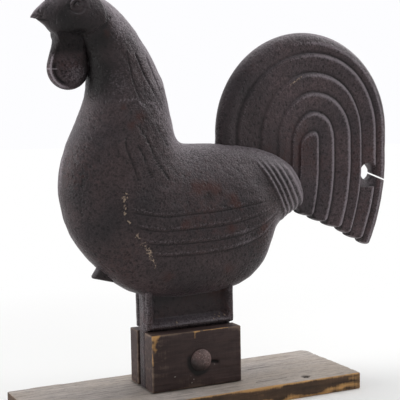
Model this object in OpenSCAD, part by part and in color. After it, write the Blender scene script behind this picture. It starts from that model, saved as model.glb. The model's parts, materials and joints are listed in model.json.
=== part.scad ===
// Windmill weight: a cast-iron rooster whose stem is bolted between two wooden blocks on a board.
// Frame: X runs from beak to tail, -Y is the shown side, Z is up.
// The origin lies on the underside of the board, on the bird's middle plane.

/* [Board] */
// Length of the board
board_l = 405; // [340:5:480]
// Width of the board
board_w = 131; // [112:1:160]
// Thickness of the board
board_t = 20.5; // [16:0.5:28]
// Radius of the board's upright corners
board_corner_r = 4; // [1:0.5:8]
// How far the clamp sits behind the middle of the board
clamp_offset = 4.5; // [-8:0.5:8]

/* [Clamp blocks] */
// Length of both blocks
block_l = 115; // [105:1:135]
// Thickness of both blocks
block_t = 21.5; // [16:0.5:26]
// Height of the front block
front_block_h = 67; // [52:1:68]
// Height of the rear block
rear_block_h = 65; // [52:1:68]
// Radius of the blocks' upper corners
block_corner_r = 2; // [1:0.5:8]

/* [Stem] */
// Width of the stem under the bird
stem_w = 113; // [95:1:125]
// Thickness of the stem above its shoulder
stem_t = 36; // [30:1:44]
// Thickness of the tenon between the blocks
tenon_t = 23; // [16:1:28]
// Height of the shoulder above the sole
shoulder_h = 70; // [69:0.5:78]
// Height of the belly above the sole
stem_h = 104; // [98:1:125]
// Radius of the stem's upright edges
stem_edge_r = 7.5; // [2:0.5:7.5]
// Width of the border round the sunk panel
panel_border = 10; // [7:0.5:14]
// Height of the sill under the sunk panel
panel_sill = 4; // [2:0.5:8]
// Depth of the sunk panel on each face
panel_depth = 11; // [4:0.5:12]
// How far the walls of the panel lean inwards
panel_draft = 4; // [1:0.5:5]

/* [Clamp bolt] */
// Diameter of the carriage bolt
bolt_d = 11.1; // [9:0.1:13]
// Length of the bolt under its head
bolt_l = 89; // [86:1:100]
// Diameter of the domed head
bolt_head_d = 26; // [22:0.5:32]
// Height of the domed head
bolt_head_h = 8; // [5:0.5:11]
// Depth of the square neck under the head
bolt_neck_h = 7; // [5:0.5:10]
// Sideways place of the bolt
bolt_x = 4; // [-15:1:15]
// Height of the bolt above the board
bolt_z = 32; // [24:1:38]
// Diameter of the washer
washer_d = 32; // [28:1:40]
// Thickness of the washer
washer_t = 2.6; // [1.5:0.1:4]
// Width of the square nut across its flats
nut_af = 19; // [17:0.5:24]
// Thickness of the nut
nut_t = 10; // [8:0.5:12]
// Radial play between the bolt and the holes that it passes
bolt_play = 0.3; // [0.2:0.05:0.6]
// Radial play between the thread and the nut
thread_play = 0.06; // [0.03:0.01:0.1]

/* [Base screws] */
// Diameter of the wood screws
screw_d = 4.8; // [3.5:0.1:6]
// Diameter of their countersunk heads
screw_head_d = 9.6; // [8:0.1:12]
// Length of the screws
screw_l = 44; // [36:1:52]
// Depth of the heads below the board's underside
screw_sink = 0.6; // [0.3:0.1:1.5]
// Distance between the two screws of a block
screw_pitch = 76; // [56:1:90]
// Width of the driver slot
screw_slot_w = 1.3; // [0.8:0.1:1.6]
// Radial play between a screw and its hole
screw_play = 0.1; // [0.05:0.05:0.2]

/* [Bird] */
// Half thickness of the body where it is widest
body_half_t = 45; // [40:1:54]
// How far the wing stands out of the body
wing_h = 3; // [1.5:0.5:5]
// Step from one wing feather to the next
feather_step = 1.4; // [0.6:0.2:2]
// Height of the saddle feathers in front of the tail
saddle_h = 1.8; // [0.8:0.2:3]
// Thickness of the comb
comb_t = 12; // [8:1:18]
// Height of the comb's points above its root
comb_h = 17; // [10:1:26]
// Thickness of the wattle
wattle_t = 17; // [10:1:24]
// Radius of the wattle's lobe
wattle_r = 24; // [18:1:28]
// Thickness of the lug under the breast
lug_t = 14; // [8:1:20]
// Radius of the ring round the eye
eye_ring_r = 5; // [3:0.5:6]

/* [Tail] */
// Radius of the tail's outer arch
tail_r = 118; // [112:1:130]
// Half thickness of the tail on the crest of a rib
tail_half_t = 11.5; // [9:0.5:15]
// Height of a rib above the groove beside it
rib_h = 3.2; // [1.5:0.1:5]
// Width of the outermost rib at its sides
rim_rib_w = 17; // [14:0.5:20]
// Diameter of the hole through the tail
tail_hole_d = 23; // [16:1:26]
// Distance of the hole's middle from the tail's rim
tail_hole_edge = 28; // [24:1:34]
// Width of the slit from the hole to the rim
slit_w = 2; // [1:0.1:4]

/* [Hidden] */
$fn = 64;
iron_colour = [0.17, 0.15, 0.15];
bolt_colour = [0.30, 0.22, 0.21];
block_colour = [0.20, 0.16, 0.15];
board_colour = [0.46, 0.42, 0.39];
steel_colour = [0.45, 0.44, 0.43];

// Places that several pieces share
clamp_y = tenon_t / 2;
front_face_y = -clamp_y - block_t;
rear_face_y = clamp_y + block_t;
bolt_height = board_t + bolt_z;
bore_r = bolt_d / 2 + bolt_play;
screw_y = clamp_y + block_t / 2;
screw_tip_h = 6;
screw_head_h = (screw_head_d - screw_d) / 2;

// A point on a smooth curve through the rows of a list, at row number s
function between(rows, s) =
    let (last = len(rows) - 1, i = min(floor(s), last - 1), t = s - i,
         a = rows[max(i - 1, 0)], b = rows[i], c = rows[i + 1], d = rows[min(i + 2, last)])
    b + t / 2 * ((c - a) + t * ((2 * a - 5 * b + 4 * c - d) + t * (3 * (b - c) + d - a)));

function ramp(from, to, v) =
    let (t = max(0, min(1, (v - from) / (to - from)))) t * t * (3 - 2 * t);

// The bird is lofted from the rump to the tip of the beak.
// Each row is one section: back x and z, breast x and z, half thickness as a share of the body's.
// Heights are counted from the lowest point of the belly.
SECTIONS = [
    [160, 120,  162, 104, 0.16],
    [145, 145,  156,  98, 0.42],
    [130, 157,  145,  92, 0.60],
    [113, 166,  131,  84, 0.73],
    [ 93, 172,  117,  72, 0.83],
    [ 70, 176,  108,  50, 0.91],
    [ 48, 178,   96,  27, 0.97],
    [ 30, 179,   68,   8, 1.00],
    [ 14, 179,   22,   0, 1.00],
    [  0, 180,  -30,   1, 1.00],
    [ -8, 184,  -75,  14, 1.00],
    [-14, 193, -111,  43, 1.00],
    [-16, 205, -138,  79, 0.97],
    [-19, 219, -150, 118, 0.92],
    [-22, 235, -150, 150, 0.85],
    [-26, 252, -141, 181, 0.77],
    [-34, 269, -128, 210, 0.69],
    [-43, 286, -118, 236, 0.62],
    [-54, 303, -115, 262, 0.56],
    [-66, 319, -118, 284, 0.53],
    [-81, 334, -128, 301, 0.52],
    [-98, 346, -144, 302, 0.50],
    [-118, 353, -154, 303, 0.45],
    [-140, 352, -162, 309, 0.35],
    [-159, 344, -169, 316, 0.22],
    [-173, 332, -175, 320, 0.11],
    [-178, 325, -178, 322, 0.04],
];
BEAK = len(SECTIONS) - 1;

// Saddle feathers cross the rump one behind another, leaning back towards the belly
SADDLE_GROOVES = [1.5, 2.4, 3, 3.5, 3.9, 4.25];
SADDLE_LEAN = 0.75;
function saddle_lean(s, a) =
    -SADDLE_LEAN * max(-0.8, min(1, (a - 85) / 50)) * ramp(0, 1.5, s) * (1 - ramp(4.5, 6.8, s));
function saddle(s, a) =
    let (n = len(SADDLE_GROOVES), k = len([for (g = SADDLE_GROOVES) if (s >= g) 1]),
         from = k == 0 ? 0 : SADDLE_GROOVES[k - 1], to = SADDLE_GROOVES[min(k, n - 1)],
         f = (s - from) / (to - from))
    k == 0 || k == n ? 0
        : saddle_h * ramp(30, 55, a) * (1 - ramp(165, 178, a)) * (f < 0.4 ? f / 0.4 : (1 - f) / 0.6);

// The wing lies over the flank, its feathers running along the body one below another.
// Their lines are angles round the section, and drift downwards at both ends of the wing.
WING_LINES = [81, 92, 102.5, 112];
WING_REAR = 4.9;
function wing_front(a) = 11.6 - (a - 81) * 0.048;
function wing_drift(s) =
    2.5 * pow(max(0, min(s, 12) - 8.3), 2) * (1 - ramp(12, 16, s))
    + 1.9 * pow(max(0, 7.5 - max(s, 4.8)), 2) * ramp(1, 4.8, s);
function wing_window(s, a) =
    ramp(WING_REAR - 0.4, WING_REAR + 0.8, s) * (1 - ramp(wing_front(a) - 0.45, wing_front(a), s));
function wing_profile(a) =
    let (k = len([for (line = WING_LINES) if (a > line) 1]),
         edge = k == 0 ? WING_LINES[0] : WING_LINES[k - 1],
         next = k >= len(WING_LINES) ? edge + 12 : WING_LINES[k])
    k == 0 ? (wing_h + 0.7 * feather_step) * ramp(42, 78, a)
        : k == len(WING_LINES) ? 0
        : wing_h * (1 - k / len(WING_LINES)) + feather_step * (a - edge) / (next - edge);
function wing(s, a) = wing_profile(a) * wing_window(s, a);

// Rows and angles at which the skin is drawn, closer where feathers need them
SKIN_ROWS = concat(
    [0, 0.5, 1],
    [for (k = [0 : len(SADDLE_GROOVES) - 2], f = [0, 0.4, 0.7])
        SADDLE_GROOVES[k] + f * (SADDLE_GROOVES[k + 1] - SADDLE_GROOVES[k])],
    [for (s = [SADDLE_GROOVES[len(SADDLE_GROOVES) - 1] : 0.55 : BEAK - 0.3]) s],
    [BEAK]);
LINE_GAP = 0.6;
SKIN_ANGLES = concat(
    [0, 14, 28, 42, 54, 66, 76],
    [for (line = WING_LINES, side = [-LINE_GAP, LINE_GAP]) line + side],
    [122, 132, 144, 156, 168, 180]);

function skin_point(s, a, side) =
    let (turn = a + wing_drift(s) * sin(a), along = (1 - cos(turn)) / 2,
         row = between(SECTIONS, s + saddle_lean(s, turn)),
         x = row[0] + (row[2] - row[0]) * along,
         z = row[1] + (row[3] - row[1]) * along,
         y = body_half_t * row[4] * pow(sin(turn), 0.85) + wing(s, a) + saddle(s, a))
    [x, side * (a == 0 || a == 180 ? 0 : y), stem_h + z];

function skin_ring(s) = concat(
    [for (a = SKIN_ANGLES) skin_point(s, a, -1)],
    [for (k = [len(SKIN_ANGLES) - 2 : -1 : 1]) skin_point(s, SKIN_ANGLES[k], 1)]);

// A closed solid through a list of rings that have the same number of points
module loft(rings) {
    n = len(rings[0]);
    last = (len(rings) - 1) * n;
    walls = [for (i = [0 : len(rings) - 2], k = [0 : n - 1])
        let (a = i * n + k, b = i * n + (k + 1) % n)
        each [[a, b, a + n], [b, b + n, a + n]]];
    caps = [[for (k = [n - 1 : -1 : 0]) k], [for (k = [0 : n - 1]) last + k]];
    polyhedron([for (ring = rings) each ring], concat(walls, caps));
}

module bird_body() {
    loft([for (s = SKIN_ROWS) skin_ring(s)]);
}

// The tail is a plate of nested arches. Line v counts ribs inwards from the rim.
RIBS = 6;
TAIL_X = 165.3;
TAIL_Z = 190;
ARCH_WIDER = 1.2;
ARCH_LEAN = 4;
ARCH_DROP = 5.5;
RIB_DROP = 3.2;
LEG_BEND_FROM = 150;
LEG_BEND_R = 235;
ROOT_FLARE = 6;
rib_pitch = (tail_r - rim_rib_w) / (RIBS - 1.13);
function line_r(v) = v < 1 ? tail_r - rim_rib_w * v : tail_r - rim_rib_w - rib_pitch * (v - 1);
function line_z(v) = TAIL_Z - (v < 1 ? ARCH_DROP * v : ARCH_DROP + RIB_DROP * (v - 1));
function leg_shift(z) = z > LEG_BEND_FROM ? 0 : -pow(LEG_BEND_FROM - z, 2) / (2 * LEG_BEND_R);

// The rib ends step up from the rim inwards, each one rounded like a tongue.
// Their roots step down from the rim inwards, inside the body.
ROOT_Z = 158;
TIP_Z = 42;
TIP_STEP = 8.5;
TONGUE = 3;
function tip_z(v) = let (f = v - floor(v))
    TIP_Z + TIP_STEP * floor(v) + TONGUE * pow(max(0, 1 - f / 0.25), 2) + (TIP_STEP - 2) * f * f;
function root_z(v) = ROOT_Z - (ROOT_Z - TIP_Z - TIP_STEP * (RIBS - 0.5)) * v / RIBS;

ARC_STEPS = 20;
LEG_STEPS = 8;
function tail_line(v) =
    let (r = line_r(v), w = r + ARCH_WIDER, z = line_z(v), lean = ARCH_LEAN * min(v, 1)) concat(
    [for (k = [0 : LEG_STEPS - 1]) let (h = root_z(v) + (z - root_z(v)) * k / LEG_STEPS)
        [TAIL_X - w - ROOT_FLARE * pow((z - h) / (z - root_z(v)), 2), h]],
    [for (k = [0 : ARC_STEPS]) let (t = 180 - 180 * k / ARC_STEPS)
        [TAIL_X + w * cos(t) + lean * pow(sin(t), 2), z + r * sin(t)]],
    [for (k = [1 : LEG_STEPS]) let (h = z + (tip_z(v) - z) * k / LEG_STEPS) [TAIL_X + w + leg_shift(h), h]]);

// Half thickness across the ribs: a steep outer flank, a crest and a long slope inwards
GROOVE = tail_half_t - rib_h;
RIM_LINES = [[0, GROOVE - 4], [0.1, GROOVE - 0.5], [0.3, GROOVE + rib_h * 0.8], [0.55, tail_half_t]];
RIB_LINES = [[0, GROOVE], [0.12, tail_half_t - 0.3], [0.3, tail_half_t], [0.7, tail_half_t - rib_h * 0.45]];
CORE_LINES = [[0, GROOVE], [0.15, tail_half_t - 0.3], [0.45, tail_half_t]];
TAIL_LINES = concat(
    RIM_LINES,
    [for (i = [1 : RIBS - 2], p = RIB_LINES) [i + p[0], p[1]]],
    [for (p = CORE_LINES) [RIBS - 1 + p[0], p[1]]]);

module tail_plate() {
    rows = [for (p = TAIL_LINES) tail_line(p[0])];
    m = len(rows[0]);
    n = len(rows);
    size = m * n;
    points = concat(
        [for (i = [0 : n - 1], k = [0 : m - 1]) [rows[i][k][0], -TAIL_LINES[i][1], rows[i][k][1]]],
        [for (i = [0 : n - 1], k = [0 : m - 1]) [rows[i][k][0], TAIL_LINES[i][1], rows[i][k][1]]]);
    front = [for (i = [0 : n - 2], k = [0 : m - 2]) let (a = i * m + k, b = a + m)
        each [[a, a + 1, b], [a + 1, b + 1, b]]];
    core = (n - 1) * m;
    strip = concat(
        [for (k = [0 : LEG_STEPS - 1]) let (a = core + k, b = core + m - 1 - k)
            each [[a, a + 1, b], [a + 1, b - 1, b]]],
        [[for (k = [LEG_STEPS : LEG_STEPS + ARC_STEPS]) core + k]]);
    faces = concat(front, strip);
    back = [for (f = faces) [for (k = [len(f) - 1 : -1 : 0]) f[k] + size]];
    border = concat(
        [for (k = [0 : m - 1]) k],
        [for (i = [1 : n - 1]) i * m + m - 1],
        [for (i = [n - 1 : -1 : 1]) i * m]);
    edge = [for (k = [0 : len(border) - 1]) let (a = border[k], b = border[(k + 1) % len(border)])
        each [[b, a, a + size], [b, a + size, b + size]]];
    translate([0, 0, stem_h]) polyhedron(points, concat(faces, back, edge));
}

TAIL_HOLE_DROP = 55;
tail_hole_z = TAIL_Z - TAIL_HOLE_DROP;
tail_hole_x = TAIL_X + ARCH_WIDER + tail_r + leg_shift(tail_hole_z) - tail_hole_edge;
HOLE_LEDGE = 7;
SLIT_SLOPE = -0.39;
SLIT_TILT = 0.18;

// Below the hole the ribs are cut down to the depth of their grooves, as far as a ledge
module tail_hole() {
    drop = tail_hole_d / 2 + HOLE_LEDGE;
    translate([tail_hole_x, 0, stem_h + tail_hole_z]) {
        rotate([90, 0, 0]) cylinder(d = tail_hole_d, h = 4 * tail_half_t, center = true);
        for (side = [-1, 1])
            translate([0, side * (GROOVE + tail_half_t), -drop / 2])
                cube([tail_hole_d, 2 * tail_half_t, drop], center = true);
        slit();
    }
}

// The slit leans so that it runs downwards to the rim and towards the shown side
module slit() {
    reach = tail_hole_edge + 4;
    polyhedron(
        [for (dz = [-slit_w / 2, slit_w / 2], x = [0, reach], y = [-2 * tail_half_t, 2 * tail_half_t])
            [x, y, SLIT_SLOPE * x + SLIT_TILT * y + dz]],
        [[0, 2, 3, 1], [4, 5, 7, 6], [0, 1, 5, 4], [2, 6, 7, 3], [0, 4, 6, 2], [1, 3, 7, 5]]);
}

// The stem carries the bird: a tenon for the clamp that runs up into the belly as a post with round ends.
// Above its shoulder it has a frame on each face, round a sunk panel that ends inside the belly.
STEM_RISE = 26;
PANEL_RISE = 12;
frame_t = (stem_t - tenon_t) / 2 + 1;
frame_r = min(2.5, 0.4 * frame_t);
module rounded_bar(l, w, h, r) {
    linear_extrude(h) {
        square([l - 2 * r, w], center = true);
        square([l, w - 2 * r], center = true);
        for (x = [-1, 1], y = [-1, 1]) translate([x * (l / 2 - r), y * (w / 2 - r)]) circle(r);
    }
}

module sunk_panel() {
    w = stem_w - 2 * panel_border;
    low = shoulder_h + panel_sill;
    high = stem_h + PANEL_RISE;
    far = stem_t / 2 + 1;
    deep = stem_t / 2 - panel_depth;
    lean = panel_draft * (1 + 1 / panel_depth);
    polyhedron(
        [[-w / 2, -far, low], [w / 2, -far, low], [w / 2, -far, high], [-w / 2, -far, high],
         [-w / 2 + lean, -deep, low + lean], [w / 2 - lean, -deep, low + lean],
         [w / 2 - lean, -deep, high], [-w / 2 + lean, -deep, high]],
        [[3, 2, 1, 0], [4, 5, 6, 7], [0, 1, 5, 4], [1, 2, 6, 5], [2, 3, 7, 6], [3, 0, 4, 7]]);
}

module stem() {
    top = stem_h + STEM_RISE;
    difference() {
        union() {
            rounded_bar(stem_w, tenon_t, top, stem_edge_r);
            for (side = [-1, 1]) translate([0, side * (stem_t - frame_t) / 2, shoulder_h])
                rounded_bar(stem_w, frame_t, top - shoulder_h, frame_r);
        }
        sunk_panel();
        mirror([0, 1, 0]) sunk_panel();
    }
}

// A disc standing on the bird's middle plane
module disc(x, z, r, t) {
    translate([x, t / 2, stem_h + z]) rotate([90, 0, 0]) cylinder(r = r, h = t);
}

// The comb: points that fan out over the head, each one thinner at its tip
COMB_X = -126;
COMB_Z = 318;
COMB_ROOT = 33;
COMB_POINTS = 5;
COMB_FAN = [50, 134];
module comb() {
    for (k = [0 : COMB_POINTS - 1]) {
        t = COMB_FAN[0] + (COMB_FAN[1] - COMB_FAN[0]) * k / (COMB_POINTS - 1);
        reach = COMB_ROOT + comb_h * (1 - 0.08 * pow(k - (COMB_POINTS - 1) / 2, 2));
        hull() {
            disc(COMB_X + COMB_ROOT * cos(t), COMB_Z + COMB_ROOT * sin(t), 9, comb_t);
            disc(COMB_X + reach * cos(t - 4), COMB_Z + reach * sin(t - 4), 3.5, comb_t * 0.7);
        }
    }
}

// The wattle hangs from the chin and widens to a round lobe
WATTLE = [-137.5, 268];
CHIN = [-141, 300];
module wattle() {
    hull() {
        disc(WATTLE[0], WATTLE[1], wattle_r, wattle_t * 0.5);
        disc(WATTLE[0], WATTLE[1], wattle_r - 4, wattle_t);
        disc(CHIN[0], CHIN[1], 12, wattle_t);
    }
}

// A small lug points down and forwards under the breast
module breast_lug() {
    hull() {
        disc(-114, 32, 2, lug_t * 0.7);
        disc(-88, 26, 3, lug_t);
        disc(-96, 48, 8, lug_t);
    }
}

EYE_X = -131.5;
EYE_Z = 334.5;
EYE_SHARE = 0.445;
module eyes() {
    for (side = [-1, 1])
        translate([EYE_X, side * EYE_SHARE * body_half_t, stem_h + EYE_Z]) rotate([90, 0, 0]) {
            rotate_extrude() translate([eye_ring_r, 0]) circle(0.35 * eye_ring_r, $fn = 16);
            sphere(0.6 * eye_ring_r, $fn = 24);
        }
}

module rooster_casting() {
    color(iron_colour) translate([0, 0, board_t]) difference() {
        union() {
            bird_body();
            tail_plate();
            stem();
            comb();
            wattle();
            breast_lug();
            eyes();
        }
        tail_hole();
        translate([bolt_x, 0, bolt_z]) rotate([90, 0, 0])
            cylinder(r = bore_r, h = 2 * stem_t, center = true);
    }
}

// The board with its screw holes
module at_screws() {
    for (x = [-1, 1], y = [-1, 1]) translate([x * screw_pitch / 2, y * screw_y, 0]) children();
}

module screw_hole() {
    translate([0, 0, -1]) cylinder(r = screw_head_d / 2 + screw_play, h = 1 + screw_sink);
    translate([0, 0, screw_sink]) cylinder(d1 = screw_head_d, d2 = screw_d, h = screw_head_h);
    cylinder(r = screw_d / 2 + screw_play, h = screw_sink + screw_l + 0.5);
}

module base_board() {
    color(board_colour) difference() {
        translate([0, -clamp_offset, 0]) rounded_bar(board_l, board_w, board_t, board_corner_r);
        at_screws() screw_hole();
    }
}

// A clamp block, lying with its back on the stem
module clamp_block(h) {
    r = block_corner_r;
    rotate([90, 0, 0]) linear_extrude(block_t) {
        translate([-block_l / 2, 0]) square([block_l, h - r]);
        translate([-block_l / 2 + r, 0]) square([block_l - 2 * r, h]);
        for (x = [-1, 1]) translate([x * (block_l / 2 - r), h - r]) circle(r);
    }
}

module bolt_hole() {
    translate([bolt_x, 0, bolt_height]) rotate([90, 0, 0])
        cylinder(r = bore_r, h = 4 * rear_face_y, center = true);
}

module front_block() {
    neck = bolt_d + 2 * bolt_play;
    color(block_colour) difference() {
        translate([0, -clamp_y, board_t]) clamp_block(front_block_h);
        bolt_hole();
        translate([bolt_x - neck / 2, front_face_y - 1, bolt_height - neck / 2])
            cube([neck, bolt_neck_h + 1 + bolt_play, neck]);
        at_screws() screw_hole();
    }
}

module rear_block() {
    color(block_colour) difference() {
        translate([0, rear_face_y, board_t]) clamp_block(rear_block_h);
        bolt_hole();
        at_screws() screw_hole();
    }
}

// The bolt with its domed head in front and its end standing out behind
module carriage_bolt() {
    rim = 1;
    dome_r = (pow(bolt_head_d / 2, 2) + pow(bolt_head_h - rim, 2)) / (2 * (bolt_head_h - rim));
    color(bolt_colour) translate([bolt_x, front_face_y, bolt_height]) {
        rotate([90, 0, 0]) {
            cylinder(d = bolt_head_d, h = rim);
            intersection() {
                translate([0, 0, bolt_head_h - dome_r]) sphere(dome_r);
                cylinder(d = bolt_head_d, h = bolt_head_h);
            }
        }
        translate([-bolt_d / 2, 0, -bolt_d / 2]) cube([bolt_d, bolt_neck_h, bolt_d]);
        rotate([-90, 0, 0]) {
            cylinder(d = bolt_d, h = bolt_l - 1.2);
            translate([0, 0, bolt_l - 1.2]) cylinder(d1 = bolt_d, d2 = bolt_d - 2.4, h = 1.2);
        }
    }
}

module rear_washer() {
    color(steel_colour) translate([bolt_x, rear_face_y, bolt_height]) rotate([-90, 0, 0]) difference() {
        cylinder(d = washer_d, h = washer_t);
        translate([0, 0, -1]) cylinder(r = bore_r, h = washer_t + 2);
    }
}

// A square nut with its outer corners turned off
module square_nut() {
    nut_y = rear_face_y + washer_t;
    color(steel_colour) translate([bolt_x, nut_y, bolt_height]) rotate([-90, 0, 0]) difference() {
        intersection() {
            translate([-nut_af / 2, -nut_af / 2, 0]) cube([nut_af, nut_af, nut_t]);
            cylinder(r1 = nut_af * 0.5 + nut_t, r2 = nut_af * 0.56, h = nut_t);
        }
        translate([0, 0, -1]) cylinder(r = bolt_d / 2 + thread_play, h = nut_t + 2);
    }
}

// Four slotted wood screws driven up through the board
module base_screws() {
    color(steel_colour) at_screws() translate([0, 0, screw_sink]) difference() {
        union() {
            cylinder(r1 = screw_head_d / 2, r2 = screw_d / 2, h = screw_head_h);
            cylinder(d = screw_d, h = screw_l - screw_tip_h);
            translate([0, 0, screw_l - screw_tip_h]) cylinder(d1 = screw_d, d2 = 0.6, h = screw_tip_h);
        }
        translate([-screw_head_d, -screw_slot_w / 2, -1]) cube([2 * screw_head_d, screw_slot_w, 2.2]);
    }
}

rooster_casting();
base_board();
front_block();
rear_block();
carriage_bolt();
rear_washer();
square_nut();
base_screws();
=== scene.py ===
# %% [markdown]
# A windmill weight: a cast-iron rooster with a ribbed fan tail, its stem clamped by a carriage bolt
# between two old wooden blocks on a board. The solids come packed from the drawing. This script gives
# them their looks: a casting with feathers in relief, worn wood, rusted hardware, light and camera.
# Lengths are written in millimetres, as a pattern maker would, and turned to metres at the end.

# %% Load the frame
import json
import math

import bmesh
import bpy
import numpy as np
from mathutils import Matrix, Vector

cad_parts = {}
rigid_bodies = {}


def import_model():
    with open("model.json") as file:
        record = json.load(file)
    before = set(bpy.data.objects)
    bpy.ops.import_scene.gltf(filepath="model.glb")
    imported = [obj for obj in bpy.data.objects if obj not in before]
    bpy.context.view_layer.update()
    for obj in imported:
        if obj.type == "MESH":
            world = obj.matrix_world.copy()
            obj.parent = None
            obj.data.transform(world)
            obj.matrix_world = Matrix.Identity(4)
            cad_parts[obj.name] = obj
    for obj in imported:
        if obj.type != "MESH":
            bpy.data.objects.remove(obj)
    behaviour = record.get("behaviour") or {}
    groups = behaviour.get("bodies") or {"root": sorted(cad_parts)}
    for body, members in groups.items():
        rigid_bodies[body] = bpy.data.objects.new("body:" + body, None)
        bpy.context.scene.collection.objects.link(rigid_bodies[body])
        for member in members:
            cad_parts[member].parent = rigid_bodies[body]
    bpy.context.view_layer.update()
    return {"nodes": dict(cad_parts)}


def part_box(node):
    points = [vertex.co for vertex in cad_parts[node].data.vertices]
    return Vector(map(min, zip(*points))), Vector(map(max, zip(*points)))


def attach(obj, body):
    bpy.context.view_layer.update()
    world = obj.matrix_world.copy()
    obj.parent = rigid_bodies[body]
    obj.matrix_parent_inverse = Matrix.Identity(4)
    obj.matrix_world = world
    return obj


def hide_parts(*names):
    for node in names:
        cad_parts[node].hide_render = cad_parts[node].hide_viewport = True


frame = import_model()
MM = 0.001


def node_box(node):
    """Lowest and highest corner of a solid of the drawing, in millimetres."""
    return [np.array(corner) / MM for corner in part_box(node)]


print("solids:", sorted(frame["nodes"]))

# %% [markdown]
# The camera stands where the photographer stood: in front and to the left, a little above the tail,
# looking slightly down. A long lens keeps the upright lines of the stem nearly parallel. Its place is
# written as a matrix, so that the turn round, the look down and the small roll stay apart.

# %% Camera
EYE_MM = (-519.4, -1119.8, 363.5)
LOOK_ROUND = math.radians(25.81)
LOOK_DOWN = math.radians(5.83)
LOOK_ROLL = math.radians(-0.94)
LENS_MM = 94.85

camera_data = bpy.data.cameras.new("camera")
camera_data.sensor_width = 36
camera_data.lens = LENS_MM
camera = bpy.data.objects.new("camera", camera_data)
camera.matrix_world = (
    Matrix.Translation([v * MM for v in EYE_MM])
    @ Matrix.Rotation(-LOOK_ROUND, 4, "Z")
    @ Matrix.Rotation(math.pi / 2 - LOOK_DOWN, 4, "X")
    @ Matrix.Rotation(LOOK_ROLL, 4, "Z")
)
bpy.context.scene.collection.objects.link(camera)
bpy.context.scene.camera = camera
bpy.context.scene.view_settings.view_transform = "Standard"
print("camera at", EYE_MM, "mm with a lens of", LENS_MM, "mm")

# %% [markdown]
# Every finish is built from nodes. One function turns the sRGB hex colours that a painter would note
# down into the linear numbers that a shader mixes, and one adds a node with its settings and links.

# %% Colour and node helpers


def linear(colour):
    """Hex text to linear RGBA: c / 12.92 below 0.04045, otherwise ((c + 0.055) / 1.055) ** 2.4."""
    parts = np.array([int(colour[i : i + 2], 16) for i in (1, 3, 5)]) / 255
    return (*np.where(parts < 0.04045, parts / 12.92, ((parts + 0.055) / 1.055) ** 2.4), 1.0)


def add(tree, kind, inputs=(), **settings):
    """Add a node. Settings are its properties, inputs pairs a socket with a value or another output."""
    made = tree.nodes.new(kind)
    for name, value in settings.items():
        setattr(made, name, value)
    for socket, value in inputs:
        if isinstance(value, bpy.types.NodeSocket):
            tree.links.new(value, made.inputs[socket])
        else:
            made.inputs[socket].default_value = value
    return made


def new_material(name):
    """An empty material with its shader: returns the material, its tree and the shader node."""
    material = bpy.data.materials.new(name)
    material.use_nodes = True
    tree = material.node_tree
    return material, tree, tree.nodes["Principled BSDF"]


print("white is", linear("#ffffff"))

# %% [markdown]
# The floor is pale card. Near the object it takes light and shadow as card does. Further off it turns
# plain white for whoever looks at it, straight or in a reflection, so that no horizon shows. A backdrop
# sheet would do the same from one side only. Light that bounces off the floor never meets that white,
# so the object isn't lit by it.

# %% Floor
FLOOR_R, FLOOR_SIDES, CARD_R, WHITE_R = 6.0, 64, 0.25, 0.80


def angles(count):
    """So many angles at equal steps, once round."""
    return np.linspace(0, 2 * np.pi, count, endpoint=False)


def looked_at(tree):
    """1 for rays from the eye, off a mirror or through glass, and 0 for scattered light."""
    rays = add(tree, "ShaderNodeLightPath").outputs
    seen = rays["Is Camera Ray"]
    for kind in ("Is Glossy Ray", "Is Transmission Ray"):
        seen = add(tree, "ShaderNodeMath", [(0, seen), (1, rays[kind])], operation="ADD").outputs[0]
    return seen


turns = angles(FLOOR_SIDES)
disc = FLOOR_R * np.stack([np.cos(turns), np.sin(turns), 0 * turns], -1)
floor_mesh = bpy.data.meshes.new("floor")
floor_mesh.from_pydata(disc, [], [range(FLOOR_SIDES)])
floor = bpy.data.objects.new("floor", floor_mesh)
bpy.context.scene.collection.objects.link(floor)

card, tree, shader = new_material("pale_card")
shader.inputs["Base Color"].default_value = linear("#fbfbfa")
shader.inputs["Roughness"].default_value = 0.9
place = add(tree, "ShaderNodeTexCoord").outputs["Object"]
away = add(tree, "ShaderNodeVectorMath", [(0, place)], operation="LENGTH")
fade = add(tree, "ShaderNodeMapRange", [("Value", away.outputs["Value"]), ("From Min", CARD_R),
                                        ("From Max", WHITE_R)], interpolation_type="SMOOTHSTEP")
white = add(tree, "ShaderNodeMath", [(0, fade.outputs[0]), (1, looked_at(tree))], operation="MULTIPLY")
glow = add(tree, "ShaderNodeEmission", [("Strength", 1.0)])
both = add(tree, "ShaderNodeMixShader", [(0, white.outputs[0]), (1, shader.outputs[0]),
                                         (2, glow.outputs[0])])
tree.links.new(both.outputs[0], tree.nodes["Material Output"].inputs["Surface"])
floor_mesh.materials.append(card)
print("floor of", FLOOR_R, "m radius, white from", WHITE_R, "m")

# %% [markdown]
# The light is a studio's: one broad lamp overhead and a little behind, so that backs and crests are
# lighter than fronts, a weak one on each side, and a faint even glow. Dark iron shows mostly what it
# mirrors, so the lamps are large and soft.

# %% Lamps and world


def lamp(name, place_mm, aim_mm, size, watts):
    """A square area lamp that points from its place to its aim."""
    data = bpy.data.lights.new(name, "AREA")
    data.size = size
    data.energy = watts
    made = bpy.data.objects.new(name, data)
    made.location = [v * MM for v in place_mm]
    aim = Vector(aim_mm) - Vector(place_mm)
    made.rotation_euler = aim.to_track_quat("-Z", "Y").to_euler()
    bpy.context.scene.collection.objects.link(made)
    return made


MIDDLE = (40, 0, 250)
lamp("top_lamp", (250, 450, 1950), MIDDLE, 1.2, 16)
lamp("left_lamp", (-1700, 300, 700), MIDDLE, 1.0, 18)
lamp("right_lamp", (1500, -100, 1300), MIDDLE, 1.0, 17)

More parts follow.
